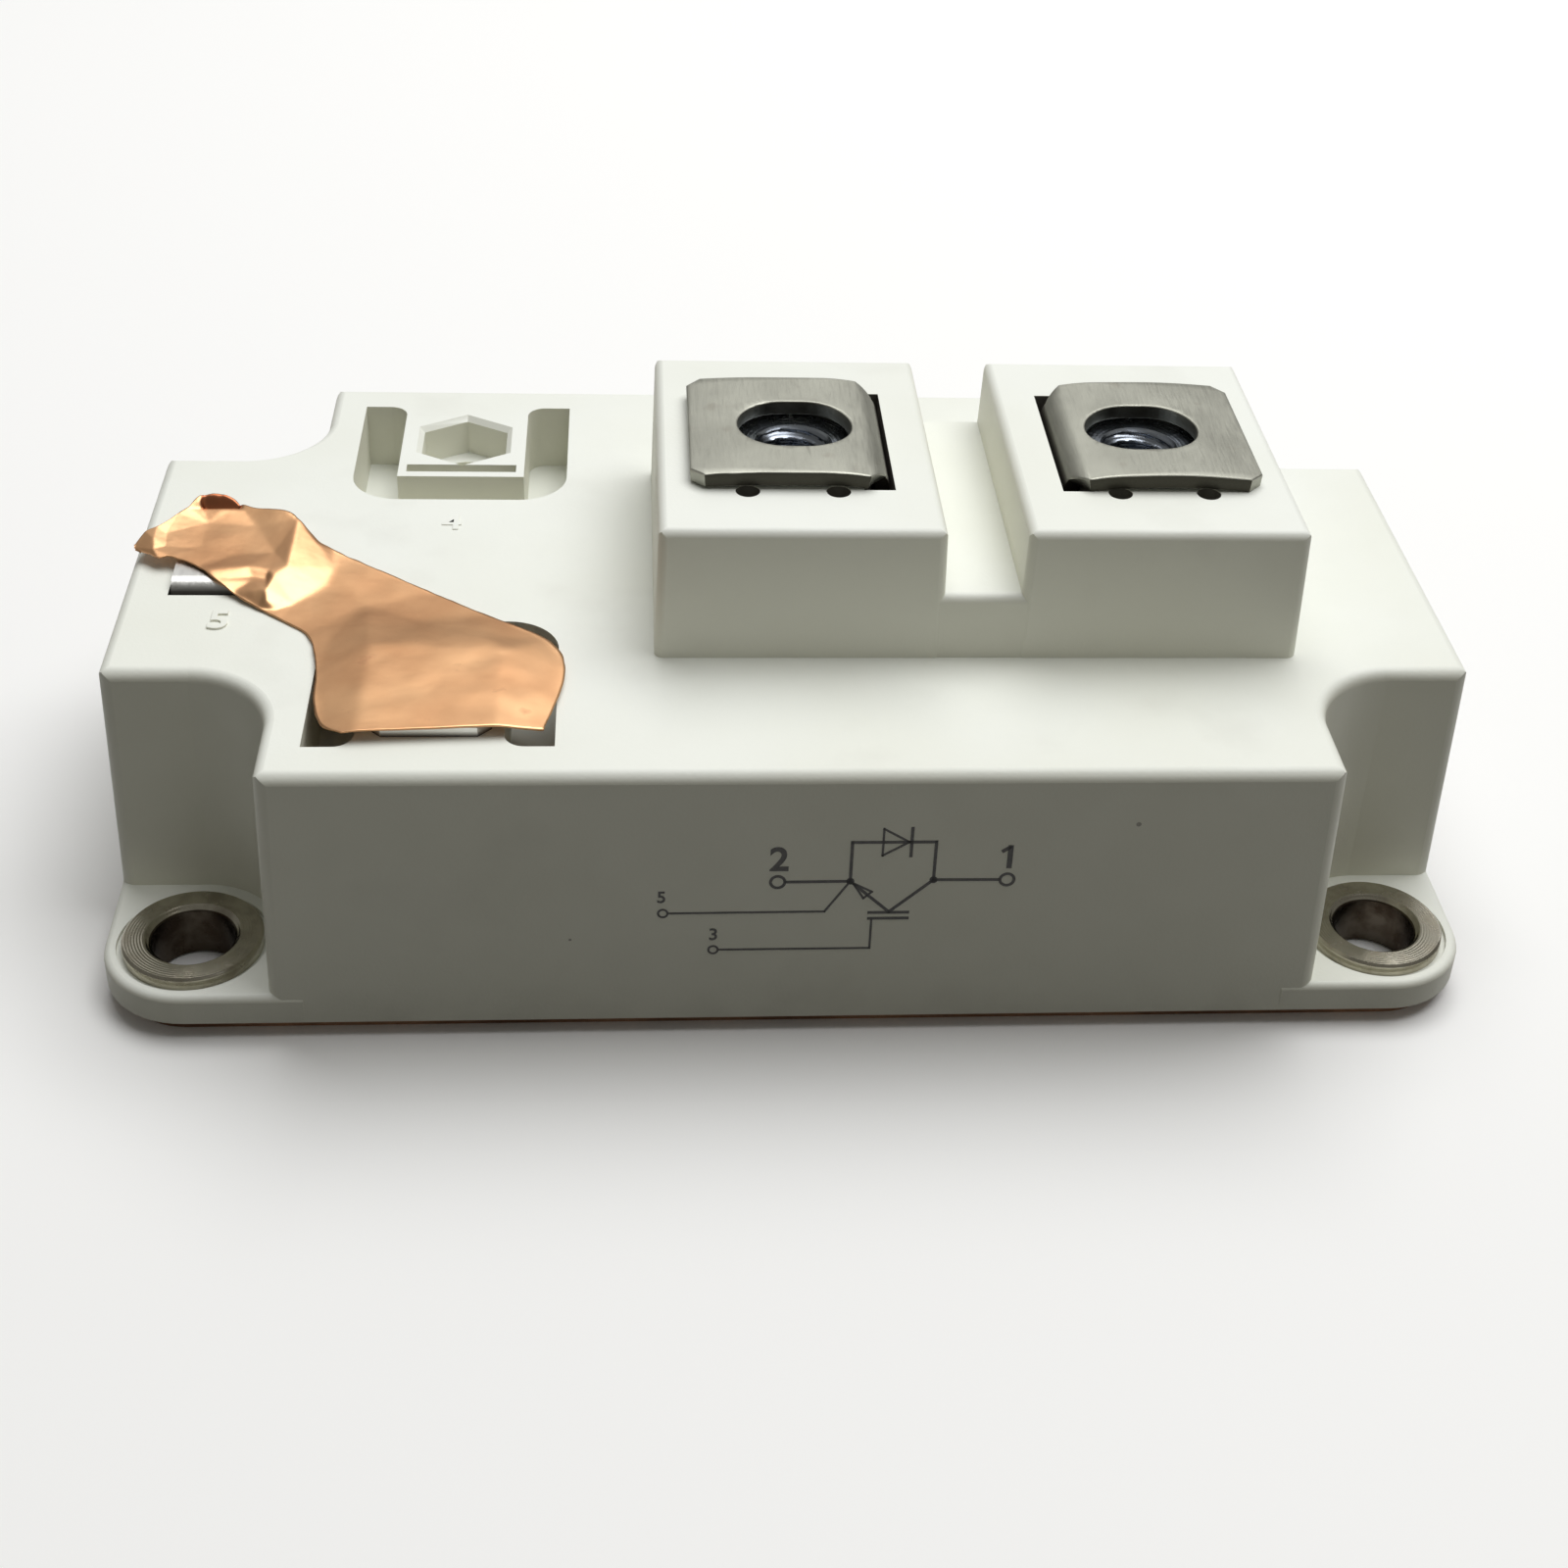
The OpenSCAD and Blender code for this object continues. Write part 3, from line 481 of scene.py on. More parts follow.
HOLE_X = 46.5 * MM
HOLE_Y = 24 * MM
TOWER_TOP = 35 * MM
BODY_TOP = 23.9 * MM
finish = {
    "housing": housing_finish(),
    "terminal": nickel_finish(
        "terminal_nickel", NICKEL_LIGHT, NICKEL_DARK, cut_shade_share=0.94, pull=0.06,
        rough_low=0.40, rough_high=0.54, rim=TOWER_TOP),
    "nut": turned_finish(
        "nut_zinc", ZINC_LIGHT, ZINC_DARK, NUT_MIDDLE, NUT_HALF,
        pitch=0.00035, depth=0.012 * MM, bore=3 * MM, bore_colour=ZINC_DARK),
    "bushing": turned_finish(
        "bushing_steel", STEEL_LIGHT, STEEL_DARK, (0, 0, 0), (HOLE_X, HOLE_Y, 0),
        pitch=0.00022, depth=0.008 * MM, bore=BORE_RADIUS, bore_colour=BORE_RUST),
    "foil": copper_finish(
        "strip_copper", STRIP_LIGHT, STRIP_DARK, STRIP_TARNISH, size=0.006, share=0.34,
        rough_low=0.36, rough_high=0.48, depth=0.006 * MM),
    "base_plate": copper_finish(
        "plate_copper", PLATE_LIGHT, PLATE_DARK, PLATE_DARK, size=0.009, share=0.45,
        rough_low=0.42, rough_high=0.6, depth=0.01 * MM),
    "copper": copper_finish(
        "island_copper", ISLAND_LIGHT, ISLAND_DARK, PLATE_LIGHT, size=0.004, share=0.32,
        rough_low=0.4, rough_high=0.5, depth=0.006 * MM),
    "ceramic": ceramic_finish(),
    "chip": chip_finish(),
    "wire": wire_finish(),
}
ink = ink_finish()
# The control tabs get a lighter copy of the terminal nickel, painted lighter to stand in for the light
# their bends catch.
tab = nickel_finish(
    "tab_nickel_painted_light", TAB_LIT_LIGHT, TAB_LIT_DARK, cut_shade_share=0.0, pull=0.08,
    rough_low=0.30, rough_high=0.42, rim=BODY_TOP + 0.4 * MM)
print("finishes", sorted(m.name for m in finish.values()))

# %% [markdown]
# ## Step 6: give every frame node its finish
# The record names a slot for each node, so the finishes are handed out from that list and no
# node can be forgotten.

# %% Hand out the finishes
slot_of = {part["node"]: part["material_slot"] for part in frame["record"]["subparts"]}
for name, node in frame["nodes"].items():
    chosen = tab if name.startswith("control_terminal") else finish[slot_of[name]]
    if not node.material_slots:
        node.data.materials.append(chosen)
    for place in node.material_slots:
        place.material = chosen
print("nodes finished:", len(frame["nodes"]))


# %% [markdown]
# ## Step 7: helpers for new pieces
# A new piece is a mesh whose points are already in their place, on an object at the origin.
# It rides on the body root, takes its finish from one slot and may stand for a frame node.

# %% Piece helpers
def add_object(name, data):
    """Puts data into the scene as an object."""
    thing = bpy.data.objects.new(name, data)
    bpy.context.scene.collection.objects.link(thing)
    return thing


def new_piece(name, mesh, material, stands_for=(), smooth_angle=30):
    """Puts a mesh into the scene as a piece of the object."""
    mesh.name = name
    piece = add_object(name, mesh)
    mesh.materials.clear()
    mesh.materials.append(material)
    mesh.shade_smooth()
    mesh.set_sharp_from_angle(angle=math.radians(smooth_angle))
    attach(piece, "root")
    if stands_for:
        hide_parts(*stands_for)
    triangles = sum(len(face.vertices) - 2 for face in mesh.polygons)
    print(f"{name}: {len(mesh.vertices)} points, {triangles} triangles")
    return piece


def mesh_from(build):
    """A mesh from a bmesh, which is freed; doubles are joined and faces turned outwards."""
    bmesh.ops.remove_doubles(build, verts=build.verts, dist=0.0005 * MM)
    bmesh.ops.recalc_face_normals(build, faces=build.faces)
    mesh = bpy.data.meshes.new("piece")
    build.to_mesh(mesh)
    build.free()
    return mesh


def curve_mesh(outlines, thickness, rounding, steps=2):
    """A flat plate in XY with rounded edges, its first outline the rim and the others holes."""
    curve = bpy.data.curves.new("outline", "CURVE")
    curve.dimensions = "2D"
    curve.fill_mode = "BOTH"
    curve.extrude = thickness / 2 - rounding
    curve.bevel_depth = rounding
    curve.bevel_resolution = steps
    curve.offset = -rounding
    for points in outlines:
        line = curve.splines.new("POLY")
        line.points.add(len(points) - 1)
        for point, (x, y) in zip(line.points, points):
            point.co = (x, y, 0, 1)
        line.use_cyclic_u = True
    return object_mesh(curve)


def object_mesh(data):
    """The mesh that a curve or text gives, ready to be worked on."""
    carrier = add_object("carrier", data)
    bpy.context.view_layer.update()
    solid = carrier.evaluated_get(bpy.context.evaluated_depsgraph_get())
    mesh = bpy.data.meshes.new_from_object(solid)
    bpy.data.objects.remove(carrier)
    build = bmesh.new()
    build.from_mesh(mesh)
    return build


# %% [markdown]
# ## Step 8: the main terminals
# Each main terminal is one strip of nickel-plated copper. It lies over the nut, droops a
# little, turns down through a tight bend and runs to the tile below. The strip is drawn flat
# first, with its slot and clipped corners, because that is how it is punched. It is then cut
# into narrow bands and wound along its path, so the punched edges stay round all the way.

# %% Draw, band and wind a strip
def arc_path(points, centre, radius, start, end, steps):
    """Adds points and outward directions of an arc to a path; angles in degrees."""
    for step in range(1, steps + 1):
        angle = math.radians(start + (end - start) * step / steps)
        outward = (math.cos(angle), math.sin(angle))
        points.append(((centre[0] + radius * outward[0], centre[1] + radius * outward[1]), outward))


def path_lengths(points):
    """How far along the path each of its points lies."""
    lengths = [0.0]
    for (first, _), (second, _) in zip(points, points[1:]):
        lengths.append(lengths[-1] + math.dist(first, second))
    return lengths


def wind(build, path, lengths, start, across, middle=0.0):
    """Moves a flat strip onto a path: x runs along it, y across it, z is its thickness."""
    for vert in build.verts:
        run = vert.co.x - start
        index = 0
        while index < len(lengths) - 2 and lengths[index + 1] < run:
            index += 1
        share = (run - lengths[index]) / (lengths[index + 1] - lengths[index])
        (a, out_a), (b, out_b) = path[index], path[index + 1]
        turn = min(max(share, 0.0), 1.0)
        out = Vector((out_a[0] + (out_b[0] - out_a[0]) * turn, out_a[1] + (out_b[1] - out_a[1]) * turn))
        out.normalize()
        along = Vector((a[0] + (b[0] - a[0]) * share, a[1] + (b[1] - a[1]) * share))
        spot = along + out * vert.co.z
        vert.co = Vector((spot.x, across * vert.co.y + middle, spot.y))


def band(build, cuts):
    """Cuts a flat mesh at every given x."""
    for x in cuts:
        parts = build.verts[:] + build.edges[:] + build.faces[:]
        bmesh.ops.bisect_plane(build, geom=parts, plane_co=(x, 0, 0), plane_no=(1, 0, 0))


def slot_points(half_run, radius, steps=24):
    """The outline of a slot along x, its ends half circles."""
    points = []
    for side in (1, -1):
        for step in range(steps + 1):
            angle = math.pi * (step / steps - 0.5) + (0 if side > 0 else math.pi)
            points.append((side * half_run + radius * math.cos(angle), radius * math.sin(angle)))
    return points


SHEET = 1.2 * MM
EDGE = 0.16 * MM
HALF_WIDTH = 8.1 * MM
HALF_NECK = 6.4 * MM
CLIP = 1.1 * MM
BOW = 6
BOW_START = -2 * MM
BOW_RADIUS = 70 * MM
DROOP_START = 2.4 * MM
DROOP_RADIUS = 16 * MM
DROOP = 10
BEND_RADIUS = 1 * MM
NECK_START = 5.4 * MM
NECK_END = 6.6 * MM
SHOULDER_TOP = 18 * MM
SHOULDER_FOOT = 15 * MM
SLOT_HALF_RUN = 0.8 * MM
SLOT_RADIUS = 3.7 * MM
FOOT = 3 * MM
FOOT_RADIUS = 0.3 * MM
FREE_END = -8.4 * MM
TWIST = 0.35
BOW_STEPS = 8
DROOP_STEPS = 6
BEND_STEPS = 14
FOOT_STEPS = 6
BANDS = 30
BAND = 0.45 * MM
LEG_TOP = BOW_STEPS + 1 + DROOP_STEPS + BEND_STEPS


def terminal_path(top, bottom):
    """The middle line of the strip from its free end to its foot, seen from the side."""
    half = SHEET / 2
    level = top - half
    centre = top - SHEET - BOW_RADIUS
    radius = BOW_RADIUS + half
    path = []
    for step in range(BOW_STEPS + 1):
        angle = math.radians(90 + BOW - BOW * step / BOW_STEPS)
        outward = (math.cos(angle), math.sin(angle))
        path.append(((BOW_START + radius * outward[0], centre + radius * outward[1]), outward))
    path.append(((DROOP_START, level), (0, 1)))
    droop_z = top - SHEET - DROOP_RADIUS
    arc_path(path, (DROOP_START, droop_z), DROOP_RADIUS + half, 90, 90 - DROOP, DROOP_STEPS)
    bend_x = DROOP_START + (DROOP_RADIUS - BEND_RADIUS) * math.sin(math.radians(DROOP))
    bend_z = droop_z + (DROOP_RADIUS - BEND_RADIUS) * math.cos(math.radians(DROOP))
    arc_path(path, (bend_x, bend_z), BEND_RADIUS + half, 90 - DROOP, 0, BEND_STEPS)
    leg = bend_x + BEND_RADIUS + half
    turn = FOOT_RADIUS + half
    path.append(((leg, bottom + half + turn), (1, 0)))
    arc_path(path, (leg - turn, bottom + half + turn), turn, 0, -90, FOOT_STEPS)
    path.append(((leg - FOOT - half, bottom + half), (0, -1)))
    return path


def terminal_sheet(name, node, tower_x, mirrored, foot, lift):
    """One wound strip. foot is the stretch across that its lower end covers; lift bows the plate."""
    low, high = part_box(node)
    path = terminal_path(high.z - lift * (1 + TWIST), low.z)
    lengths = path_lengths(path)
    start = BOW_START - lengths[BOW_STEPS]
    ends = lengths[-1] + start
    leg_top = lengths[LEG_TOP] + start
    leg_top_z = path[LEG_TOP][0][1]
    shoulder = leg_top + leg_top_z - SHOULDER_TOP
    narrow = leg_top + leg_top_z - SHOULDER_FOOT
    rim = [
        (FREE_END, -HALF_WIDTH + CLIP), (FREE_END + CLIP, -HALF_WIDTH), (NECK_START, -HALF_WIDTH),
        (NECK_END, -HALF_NECK), (shoulder, -HALF_NECK), (narrow, foot[0]), (ends, foot[0]),
        (ends, foot[1]), (narrow, foot[1]), (shoulder, HALF_NECK), (NECK_END, HALF_NECK),
        (NECK_START, HALF_WIDTH), (FREE_END + CLIP, HALF_WIDTH), (FREE_END, HALF_WIDTH - CLIP),
    ]
    build = curve_mesh([rim, slot_points(SLOT_HALF_RUN, SLOT_RADIUS)], SHEET, EDGE)
    bmesh.ops.remove_doubles(build, verts=build.verts, dist=0.001 * MM)
    cuts = [FREE_END + step * BAND for step in range(1, BANDS + 1)]
    cuts += [run + start for run in lengths[BOW_STEPS + 1:-1]]
    band(build, cuts)
    for vert in build.verts:
        if FREE_END < vert.co.x < NECK_START:
            share = math.sin(math.pi * (vert.co.x - FREE_END) / (NECK_START - FREE_END)) ** 2
            vert.co.z += lift * share * (1 - TWIST * vert.co.y / HALF_WIDTH)
    wind(build, path, lengths, start, 1)
    for vert in build.verts:
        vert.co.x = tower_x - vert.co.x if mirrored else tower_x + vert.co.x
    print(name, "is", round((ends - FREE_END) / MM, 1), "mm long when flat")
    return new_piece(name, mesh_from(build), finish["terminal"], [node])


TOWER_PITCH = 28 * MM
FOOT_2 = (14.8 * MM, 20.8 * MM)
FOOT_1 = (-16.8 * MM, -11.6 * MM)
terminal_sheet("terminal_strip_2", "main_terminal_2", 0, False, FOOT_2, lift=0.0)
terminal_sheet("terminal_strip_1", "main_terminal_1", TOWER_PITCH, True, FOOT_1, lift=0.12 * MM)


# %% [markdown]
# ## Step 9: nuts with cut threads
# A nut is a hexagon with both faces chamfered to a circle and a thread through it. It could be
# carved by subtracting a helix, but one skin wound round the axis is lighter: each ring of
# points steps over the top, down the flats, under the bottom and up the thread.

# %% Wind the skin of a nut
ROUND = 96
CHAMFER_ANGLE = math.radians(30)
CHAMFER_SHARES = [0.0, 0.03, 0.08, 0.15, 0.25, 0.4, 0.6, 0.8, 1.0]
CREST = 0.12
ROWS_A_TURN = 14


def hexagon_radius(angle, across):
    """How far a hexagon with flats that far apart reaches at an angle."""
    sector = math.radians(60)
    turned = (angle % sector) - sector / 2
    return across / 2 / math.cos(turned)


def thread_radius(angle, height, minor, major, pitch):
    """The thread's wall: a flat crest, two flanks and a flat root in each turn."""
    phase = (height / pitch - angle / (2 * math.pi)) % 1
    wave = abs(2 * phase - 1)
    share = min(max((wave - CREST) / (1 - 2 * CREST), 0), 1)
    return minor + (major - minor) * share


def threaded_nut(name, node, across, minor, major, sink, pitch):
    """One nut in the box of its frame node; sink is the radius of the countersink at each face."""
    low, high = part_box(node)
    centre = (low + high) / 2
    bottom, top = low.z, high.z
    flat = across / 2
    build = bmesh.new()
    skin = []

    def add_ring(radius_at, height):
        ring = []
        for step in range(ROUND):
            angle = 2 * math.pi * step / ROUND
            radius = radius_at(angle)
            ring.append(build.verts.new((
                centre.x + radius * math.cos(angle), centre.y + radius * math.sin(angle), height)))
        skin.append(ring)

    slope = math.tan(CHAMFER_ANGLE)
    drop = (flat / math.cos(math.radians(30)) - flat) * slope

    def chamfered(share):
        """The hexagon within the chamfer's circle, share of the way down the chamfer."""
        circle = flat + drop * share / slope
        return lambda angle: min(hexagon_radius(angle, across), circle)

    for share in CHAMFER_SHARES:
        add_ring(chamfered(share), top - drop * share)
    for share in reversed(CHAMFER_SHARES):
        add_ring(chamfered(share), bottom + drop * share)
    rows = int((top - bottom) / pitch * ROWS_A_TURN)
    for row in range(rows + 1):
        z = bottom + (top - bottom) * row / rows
        cone = sink - min(z - bottom, top - z)
        add_ring(lambda a, h=z, c=cone: max(thread_radius(a, h, minor, major, pitch), c), z)
    for first, second in zip(skin, skin[1:] + skin[:1]):
        for step in range(ROUND):
            after = (step + 1) % ROUND
            build.faces.new((first[step], first[after], second[after], second[step]))
    return new_piece(name, mesh_from(build), finish["nut"], [node], 40)


M6 = {"across": 10 * MM, "minor": 2.5 * MM, "major": 3.0 * MM, "sink": 3.15 * MM, "pitch": 1.0 * MM}
M4 = {"across": 7 * MM, "minor": 1.65 * MM, "major": 2.0 * MM, "sink": 2.15 * MM, "pitch": 0.7 * MM}
threaded_nut("nut_m6_1", "main_nut_1", **M6)
threaded_nut("nut_m6_2", "main_nut_2", **M6)
threaded_nut("nut_m4_3", "control_nut_3", **M4)
threaded_nut("nut_m4_5", "control_nut_5", **M4)

# %% [markdown]
# ## Step 10: the creased copper strip
# A thin copper strip joins the two control tabs until the module is fitted. It is pinched at
# its left end, lies over tab 5, dips to the housing and widens over tab 3. Folded foil
# is made of flat facets with soft creases between them. So the facets are made first, from
# the places of their corners and the lines of their creases. A fine sheet between the strip's
# two edges is then laid on them, and its heights are evened out just enough to round a crease.

# %% The corners and creases of the facets
# Each corner is x, y and its height over the body's top, in millimetres
CORNERS = {
    "tip": (-52.6, -0.2, 0.9), "rim_1": (-51.9, 1.5, 1.4), "rim_2": (-51.1, 2.1, 1.5),
    "rim_3": (-49.7, 4.2, 1.55), "rim_4": (-49.2, 4.8, 1.75), "rim_5": (-48.2, 5.5, 2.0),
    "curl_1": (-48.0, 6.2, 2.3), "curl_2": (-46.0, 6.4, 2.35), "curl_3": (-44.7, 5.9, 1.75),
    "trough_1": (-47.8, 5.5, 0.95), "trough_2": (-45.2, 5.5, 0.95),
    "brow_1": (-48.0, 5.1, 1.5), "brow_2": (-46.3, 4.95, 1.6), "brow_3": (-44.7, 4.95, 1.6),
    "brow_4": (-41.0, 3.9, 2.05), "brow_5": (-39.9, 2.7, 1.9),
    "back_1": (-38.3, 0.8, 1.0), "back_2": (-36.8, -0.1, 0.6), "back_3": (-35.2, -1.2, 0.45),
    "back_4": (-28.4, -6.2, 0.3), "back_5": (-23.9, -9.7, 0.45), "back_6": (-19.2, -13.1, 0.35),
    "lip_1": (-51.1, -1.4, 1.0), "lip_2": (-50.4, -2.0, 1.05), "lip_3": (-49.6, -1.8, 1.1),
    "lip_4": (-48.8, -2.2, 1.05), "lip_5": (-47.0, -3.4, 0.97), "lip_6": (-45.5, -5.0, 0.92),
    "lip_7": (-44.0, -6.4, 0.38), "lip_8": (-41.9, -8.1, 0.15), "lip_9": (-39.9, -9.7, 0.1),
    "lip_10": (-37.8, -11.7, 0.12), "lip_11": (-36.4, -18.0, 0.4), "lip_12": (-35.4, -24.4, 0.5),
    "pinch_1": (-51.1, 0.4, 1.42), "pinch_2": (-50.9, -1.0, 1.2),
    "dip_1": (-50.3, 1.4, 1.27), "dip_2": (-50.1, -0.4, 1.1),
    "bowl_1": (-47.2, 3.2, 1.2), "bowl_2": (-43.2, 2.6, 1.25), "bowl_3": (-41.4, -1.3, 1.1),
    "bowl_4": (-44.4, -1.6, 1.0), "bowl_5": (-47.3, -0.6, 1.05),
    "over_1": (-46.2, -4.0, 1.1), "over_2": (-43.2, -3.6, 1.2), "over_3": (-41.4, -4.1, 1.2),
    "under_1": (-45.3, -4.9, 0.87), "under_2": (-42.7, -4.6, 0.82), "under_3": (-41.6, -4.9, 0.84),
    "step_1": (-44.8, -5.4, 0.84), "step_2": (-42.6, -5.1, 0.84), "step_3": (-43.9, -6.1, 0.5),
    "fold_1": (-40.1, -3.5, 1.22), "fold_2": (-41.0, -4.9, 1.16), "fold_3": (-41.4, -6.6, 0.98),
    "fold_4": (-41.2, -7.8, 0.6),
    "blade_1": (-40.5, -8.3, 0.15), "blade_2": (-39.2, -7.5, 0.12), "blade_3": (-37.1, -4.8, 0.2),
    "blade_4": (-36.6, -2.8, 0.42), "blade_5": (-38.0, 0.1, 1.08),
    "flat_1": (-33.5, -8.0, 0.25), "flat_2": (-29.0, -10.5, 0.42), "flat_3": (-24.5, -13.0, 0.8),
    "flat_4": (-35.8, -12.5, 0.3), "tab_1": (-32.7, -14.4, 0.93), "tab_2": (-22.6, -15.0, 0.93),
    "tab_3": (-32.8, -25.9, 0.93), "tab_4": (-22.5, -25.4, 0.93), "tab_5": (-27.8, -19.5, 0.9),
    "end_1": (-33.8, -25.9, 0.8), "end_2": (-19.3, -25.1, 0.4), "end_3": (-17.9, -17.5, 0.3),
}
CREASES = [
    ("rim_2", "pinch_1", "pinch_2", "lip_2"), ("rim_3", "dip_1", "dip_2", "lip_3"),
    ("rim_4", "brow_1", "brow_2", "brow_3", "brow_4", "brow_5"), ("trough_1", "trough_2"),
    ("brow_5", "fold_1", "fold_2", "fold_3", "fold_4", "blade_1"),
    ("brow_5", "blade_5", "blade_4", "blade_3", "blade_2", "blade_1"),
    ("lip_5", "over_1", "over_2", "over_3"), ("lip_6", "under_1", "under_2", "under_3"),
    ("over_3", "under_3"), ("step_1", "step_2", "step_3", "step_1"),
    ("tab_1", "tab_2"), ("tab_1", "tab_3"), ("tab_2", "tab_4"),
]


PLAIN_HEIGHT = 1.0


def facets():
    """The facets as a search tree, with height as z, in millimetres."""
    names = list(CORNERS)
    plan = [Vector(CORNERS[name][:2]) for name in names]
    lines = []
    for crease in CREASES:
        lines += [(names.index(a), names.index(b)) for a, b in zip(crease, crease[1:])]
    points, _, faces, sources, _, _ = geometry.delaunay_2d_cdt(plan, lines, [], 0, 0.001)
    corners = []
    for point, source in zip(points, sources):
        height = CORNERS[names[source[0]]][2] if source else PLAIN_HEIGHT
        corners.append(Vector((point.x, point.y, height)))
    print("facets", len(faces), "from", len(names), "corners")
    return BVHTree.FromPolygons(corners, faces)


# %% Lay the sheet between the two edges of the strip
# Each station is a point on the lower edge and one on the upper edge
STATIONS = [
    ((-52.6, -0.2), (-52.6, 0.0)), ((-51.9, -0.9), (-51.9, 1.5)), ((-51.1, -1.4), (-51.1, 2.1)),
    ((-50.4, -2.0), (-50.3, 3.2)), ((-49.6, -1.8), (-49.7, 4.2)), ((-48.8, -2.2), (-49.0, 4.9)),
    ((-48.0, -2.6), (-48.1, 6.1)), ((-47.0, -3.4), (-46.6, 6.35)), ((-45.5, -5.0), (-45.3, 6.0)),
    ((-44.0, -6.4), (-43.8, 4.9)), ((-42.9, -7.3), (-41.0, 3.9)), ((-41.9, -8.1), (-39.8, 2.7)),
    ((-40.9, -8.9), (-38.3, 0.8)), ((-39.9, -9.7), (-36.8, -0.1)), ((-37.8, -11.7), (-33.0, -2.8)),
    ((-36.9, -14.5), (-28.4, -6.2)), ((-36.4, -18.0), (-23.9, -9.7)),
    ((-36.2, -21.5), (-19.2, -13.1)), ((-35.4, -24.4), (-17.9, -17.5)),
    ((-33.8, -25.9), (-19.3, -25.1)),
]
STRIP = 0.12 * MM
ROWS = 280
COLUMNS = 84
CREASE_ROUNDING = 4
HIGH_UP = 10

# How far the strip strays, in millimetres, then the pace of the noise over the plan and its seed
RAGGED_EDGE = (0.07, 0.9, 9.1)
SLOW_WAVES = (0.03, 0.45, 1.7)
FAST_WAVES = (0.005, 1.9, 4.2)
LEAST_HEIGHT = 0.06


def along_stations(share, side):
    """A point on one edge of the strip, share of the way along it."""
    run = share * (len(STATIONS) - 1)
    index = min(int(run), len(STATIONS) - 2)
    ends = [Vector(STATIONS[min(max(index + step, 0), len(STATIONS) - 1)][side]) for step in (-1, 0, 1, 2)]
    part = run - index
    smooth = ends[1] * 2 + (ends[2] - ends[0]) * part
    smooth += (ends[0] * 2 - ends[1] * 5 + ends[2] * 4 - ends[3]) * part ** 2
    smooth += (ends[1] * 3 - ends[0] - ends[2] * 3 + ends[3]) * part ** 3
    return smooth / 2


def line_heights(tree, line):
    """Heights of the facets along a line of spots; beyond them the last height carries on."""
    heights = [0.0] * len(line)
    middle = len(line) // 2
    for order in (range(middle, len(line)), range(middle, -1, -1)):
        height = PLAIN_HEIGHT
        for index in order:
            hit = tree.ray_cast(Vector((*line[index], HIGH_UP)), Vector((0, 0, -1)))[0]
            if hit is not None:
                height = hit.z
            heights[index] = height
    return heights


def even_out(heights):
    """Each height becomes the mean of itself and its four neighbours."""
    last_row = len(heights) - 1
    last_column = len(heights[0]) - 1
    result = []
    for row, line in enumerate(heights):
        before = heights[max(row - 1, 0)]
        after = heights[min(row + 1, last_row)]
        result.append([
            (line[c] + before[c] + after[c] + line[max(c - 1, 0)] + line[min(c + 1, last_column)]) / 5
            for c in range(last_column + 1)])
    return result


def stray(spot, amount, pace, seed):
    """Smooth noise at a spot of the plan."""
    return amount * noise.noise(Vector((spot.x * pace, spot.y * pace, seed)))


def copper_strip():
    tree = facets()
    spots = []
    for row in range(ROWS + 1):
        lower = along_stations(row / ROWS, 0)
        upper = along_stations(row / ROWS, 1)
        line = [lower.lerp(upper, column / COLUMNS) for column in range(COLUMNS + 1)]
        for column in (0, COLUMNS):
            spot = line[column]
            ragged = stray(spot, *RAGGED_EDGE)
            line[column] = spot + Vector((ragged, ragged))
        spots.append(line)
    heights = [line_heights(tree, line) for line in spots]
    for _ in range(CREASE_ROUNDING):
        heights = even_out(heights)
    build = bmesh.new()
    grid = []
    for line, tall in zip(spots, heights):
        row = []
        for spot, height in zip(line, tall):
            waved = height + stray(spot, *SLOW_WAVES) + stray(spot, *FAST_WAVES)
            z = BODY_TOP + max(waved, LEAST_HEIGHT) * MM
            row.append(build.verts.new((spot.x * MM, spot.y * MM, z)))
        grid.append(row)
    for first, second in zip(grid, grid[1:]):
        for column in range(COLUMNS):
            build.faces.new((first[column], second[column], second[column + 1], first[column + 1]))
    return new_piece("copper_strip", mesh_from(build), finish["foil"], ["shorting_foil"], 30)


strip = copper_strip()
facing_up = sum(face.normal.z for face in strip.data.polygons) > 0
thicken = strip.modifiers.new("thickness", "SOLIDIFY")
thicken.thickness = STRIP
thicken.offset = 1.0 if facing_up else -1.0
print("strip top at", round(max(v.co.z for v in strip.data.vertices) / MM, 2), "mm")

# %% [markdown]
# ## Step 11: the circuit diagram and the numerals
# The front of the housing carries a printed diagram of the switch inside it, with the terminal
# numbers. It is drawn flat from bars with square ends and rings, given the thickness of ink and
# laid on the leaning front wall. The numbers 4 and 5 beside the control terminals are part of
# the moulding, so they are raised and take the housing's own finish.

# %% Strokes, rings and numbers
def stroke(build, start, end, width):
    """A flat bar with square ends, drawn in XY."""
    a = Vector(start)
    b = Vector(end)
    along = (b - a).normalized() * (width / 2)
    side = Vector((-along.y, along.x))
    corners = [a - along + side, b + along + side, b + along - side, a - along - side]
    build.faces.new([build.verts.new((c.x, c.y, 0)) for c in corners])


def ring(build, centre, inner, outer, steps=40):
    """A flat ring; a pinhole as its inner radius makes it a disc."""
    spokes = []
    for step in range(steps):
        angle = 2 * math.pi * step / steps
        way = Vector((math.cos(angle), math.sin(angle)))
        a = Vector(centre) + way * inner
        b = Vector(centre) + way * outer
        spokes.append((build.verts.new((a.x, a.y, 0)), build.verts.new((b.x, b.y, 0))))
    for (a, b), (c, d) in zip(spokes, spokes[1:] + spokes[:1]):
        build.faces.new((a, b, d, c))


def outline(build, corners, width):
    """A closed outline of bars."""
    for start, end in zip(corners, corners[1:] + corners[:1]):
        stroke(build, start, end, width)


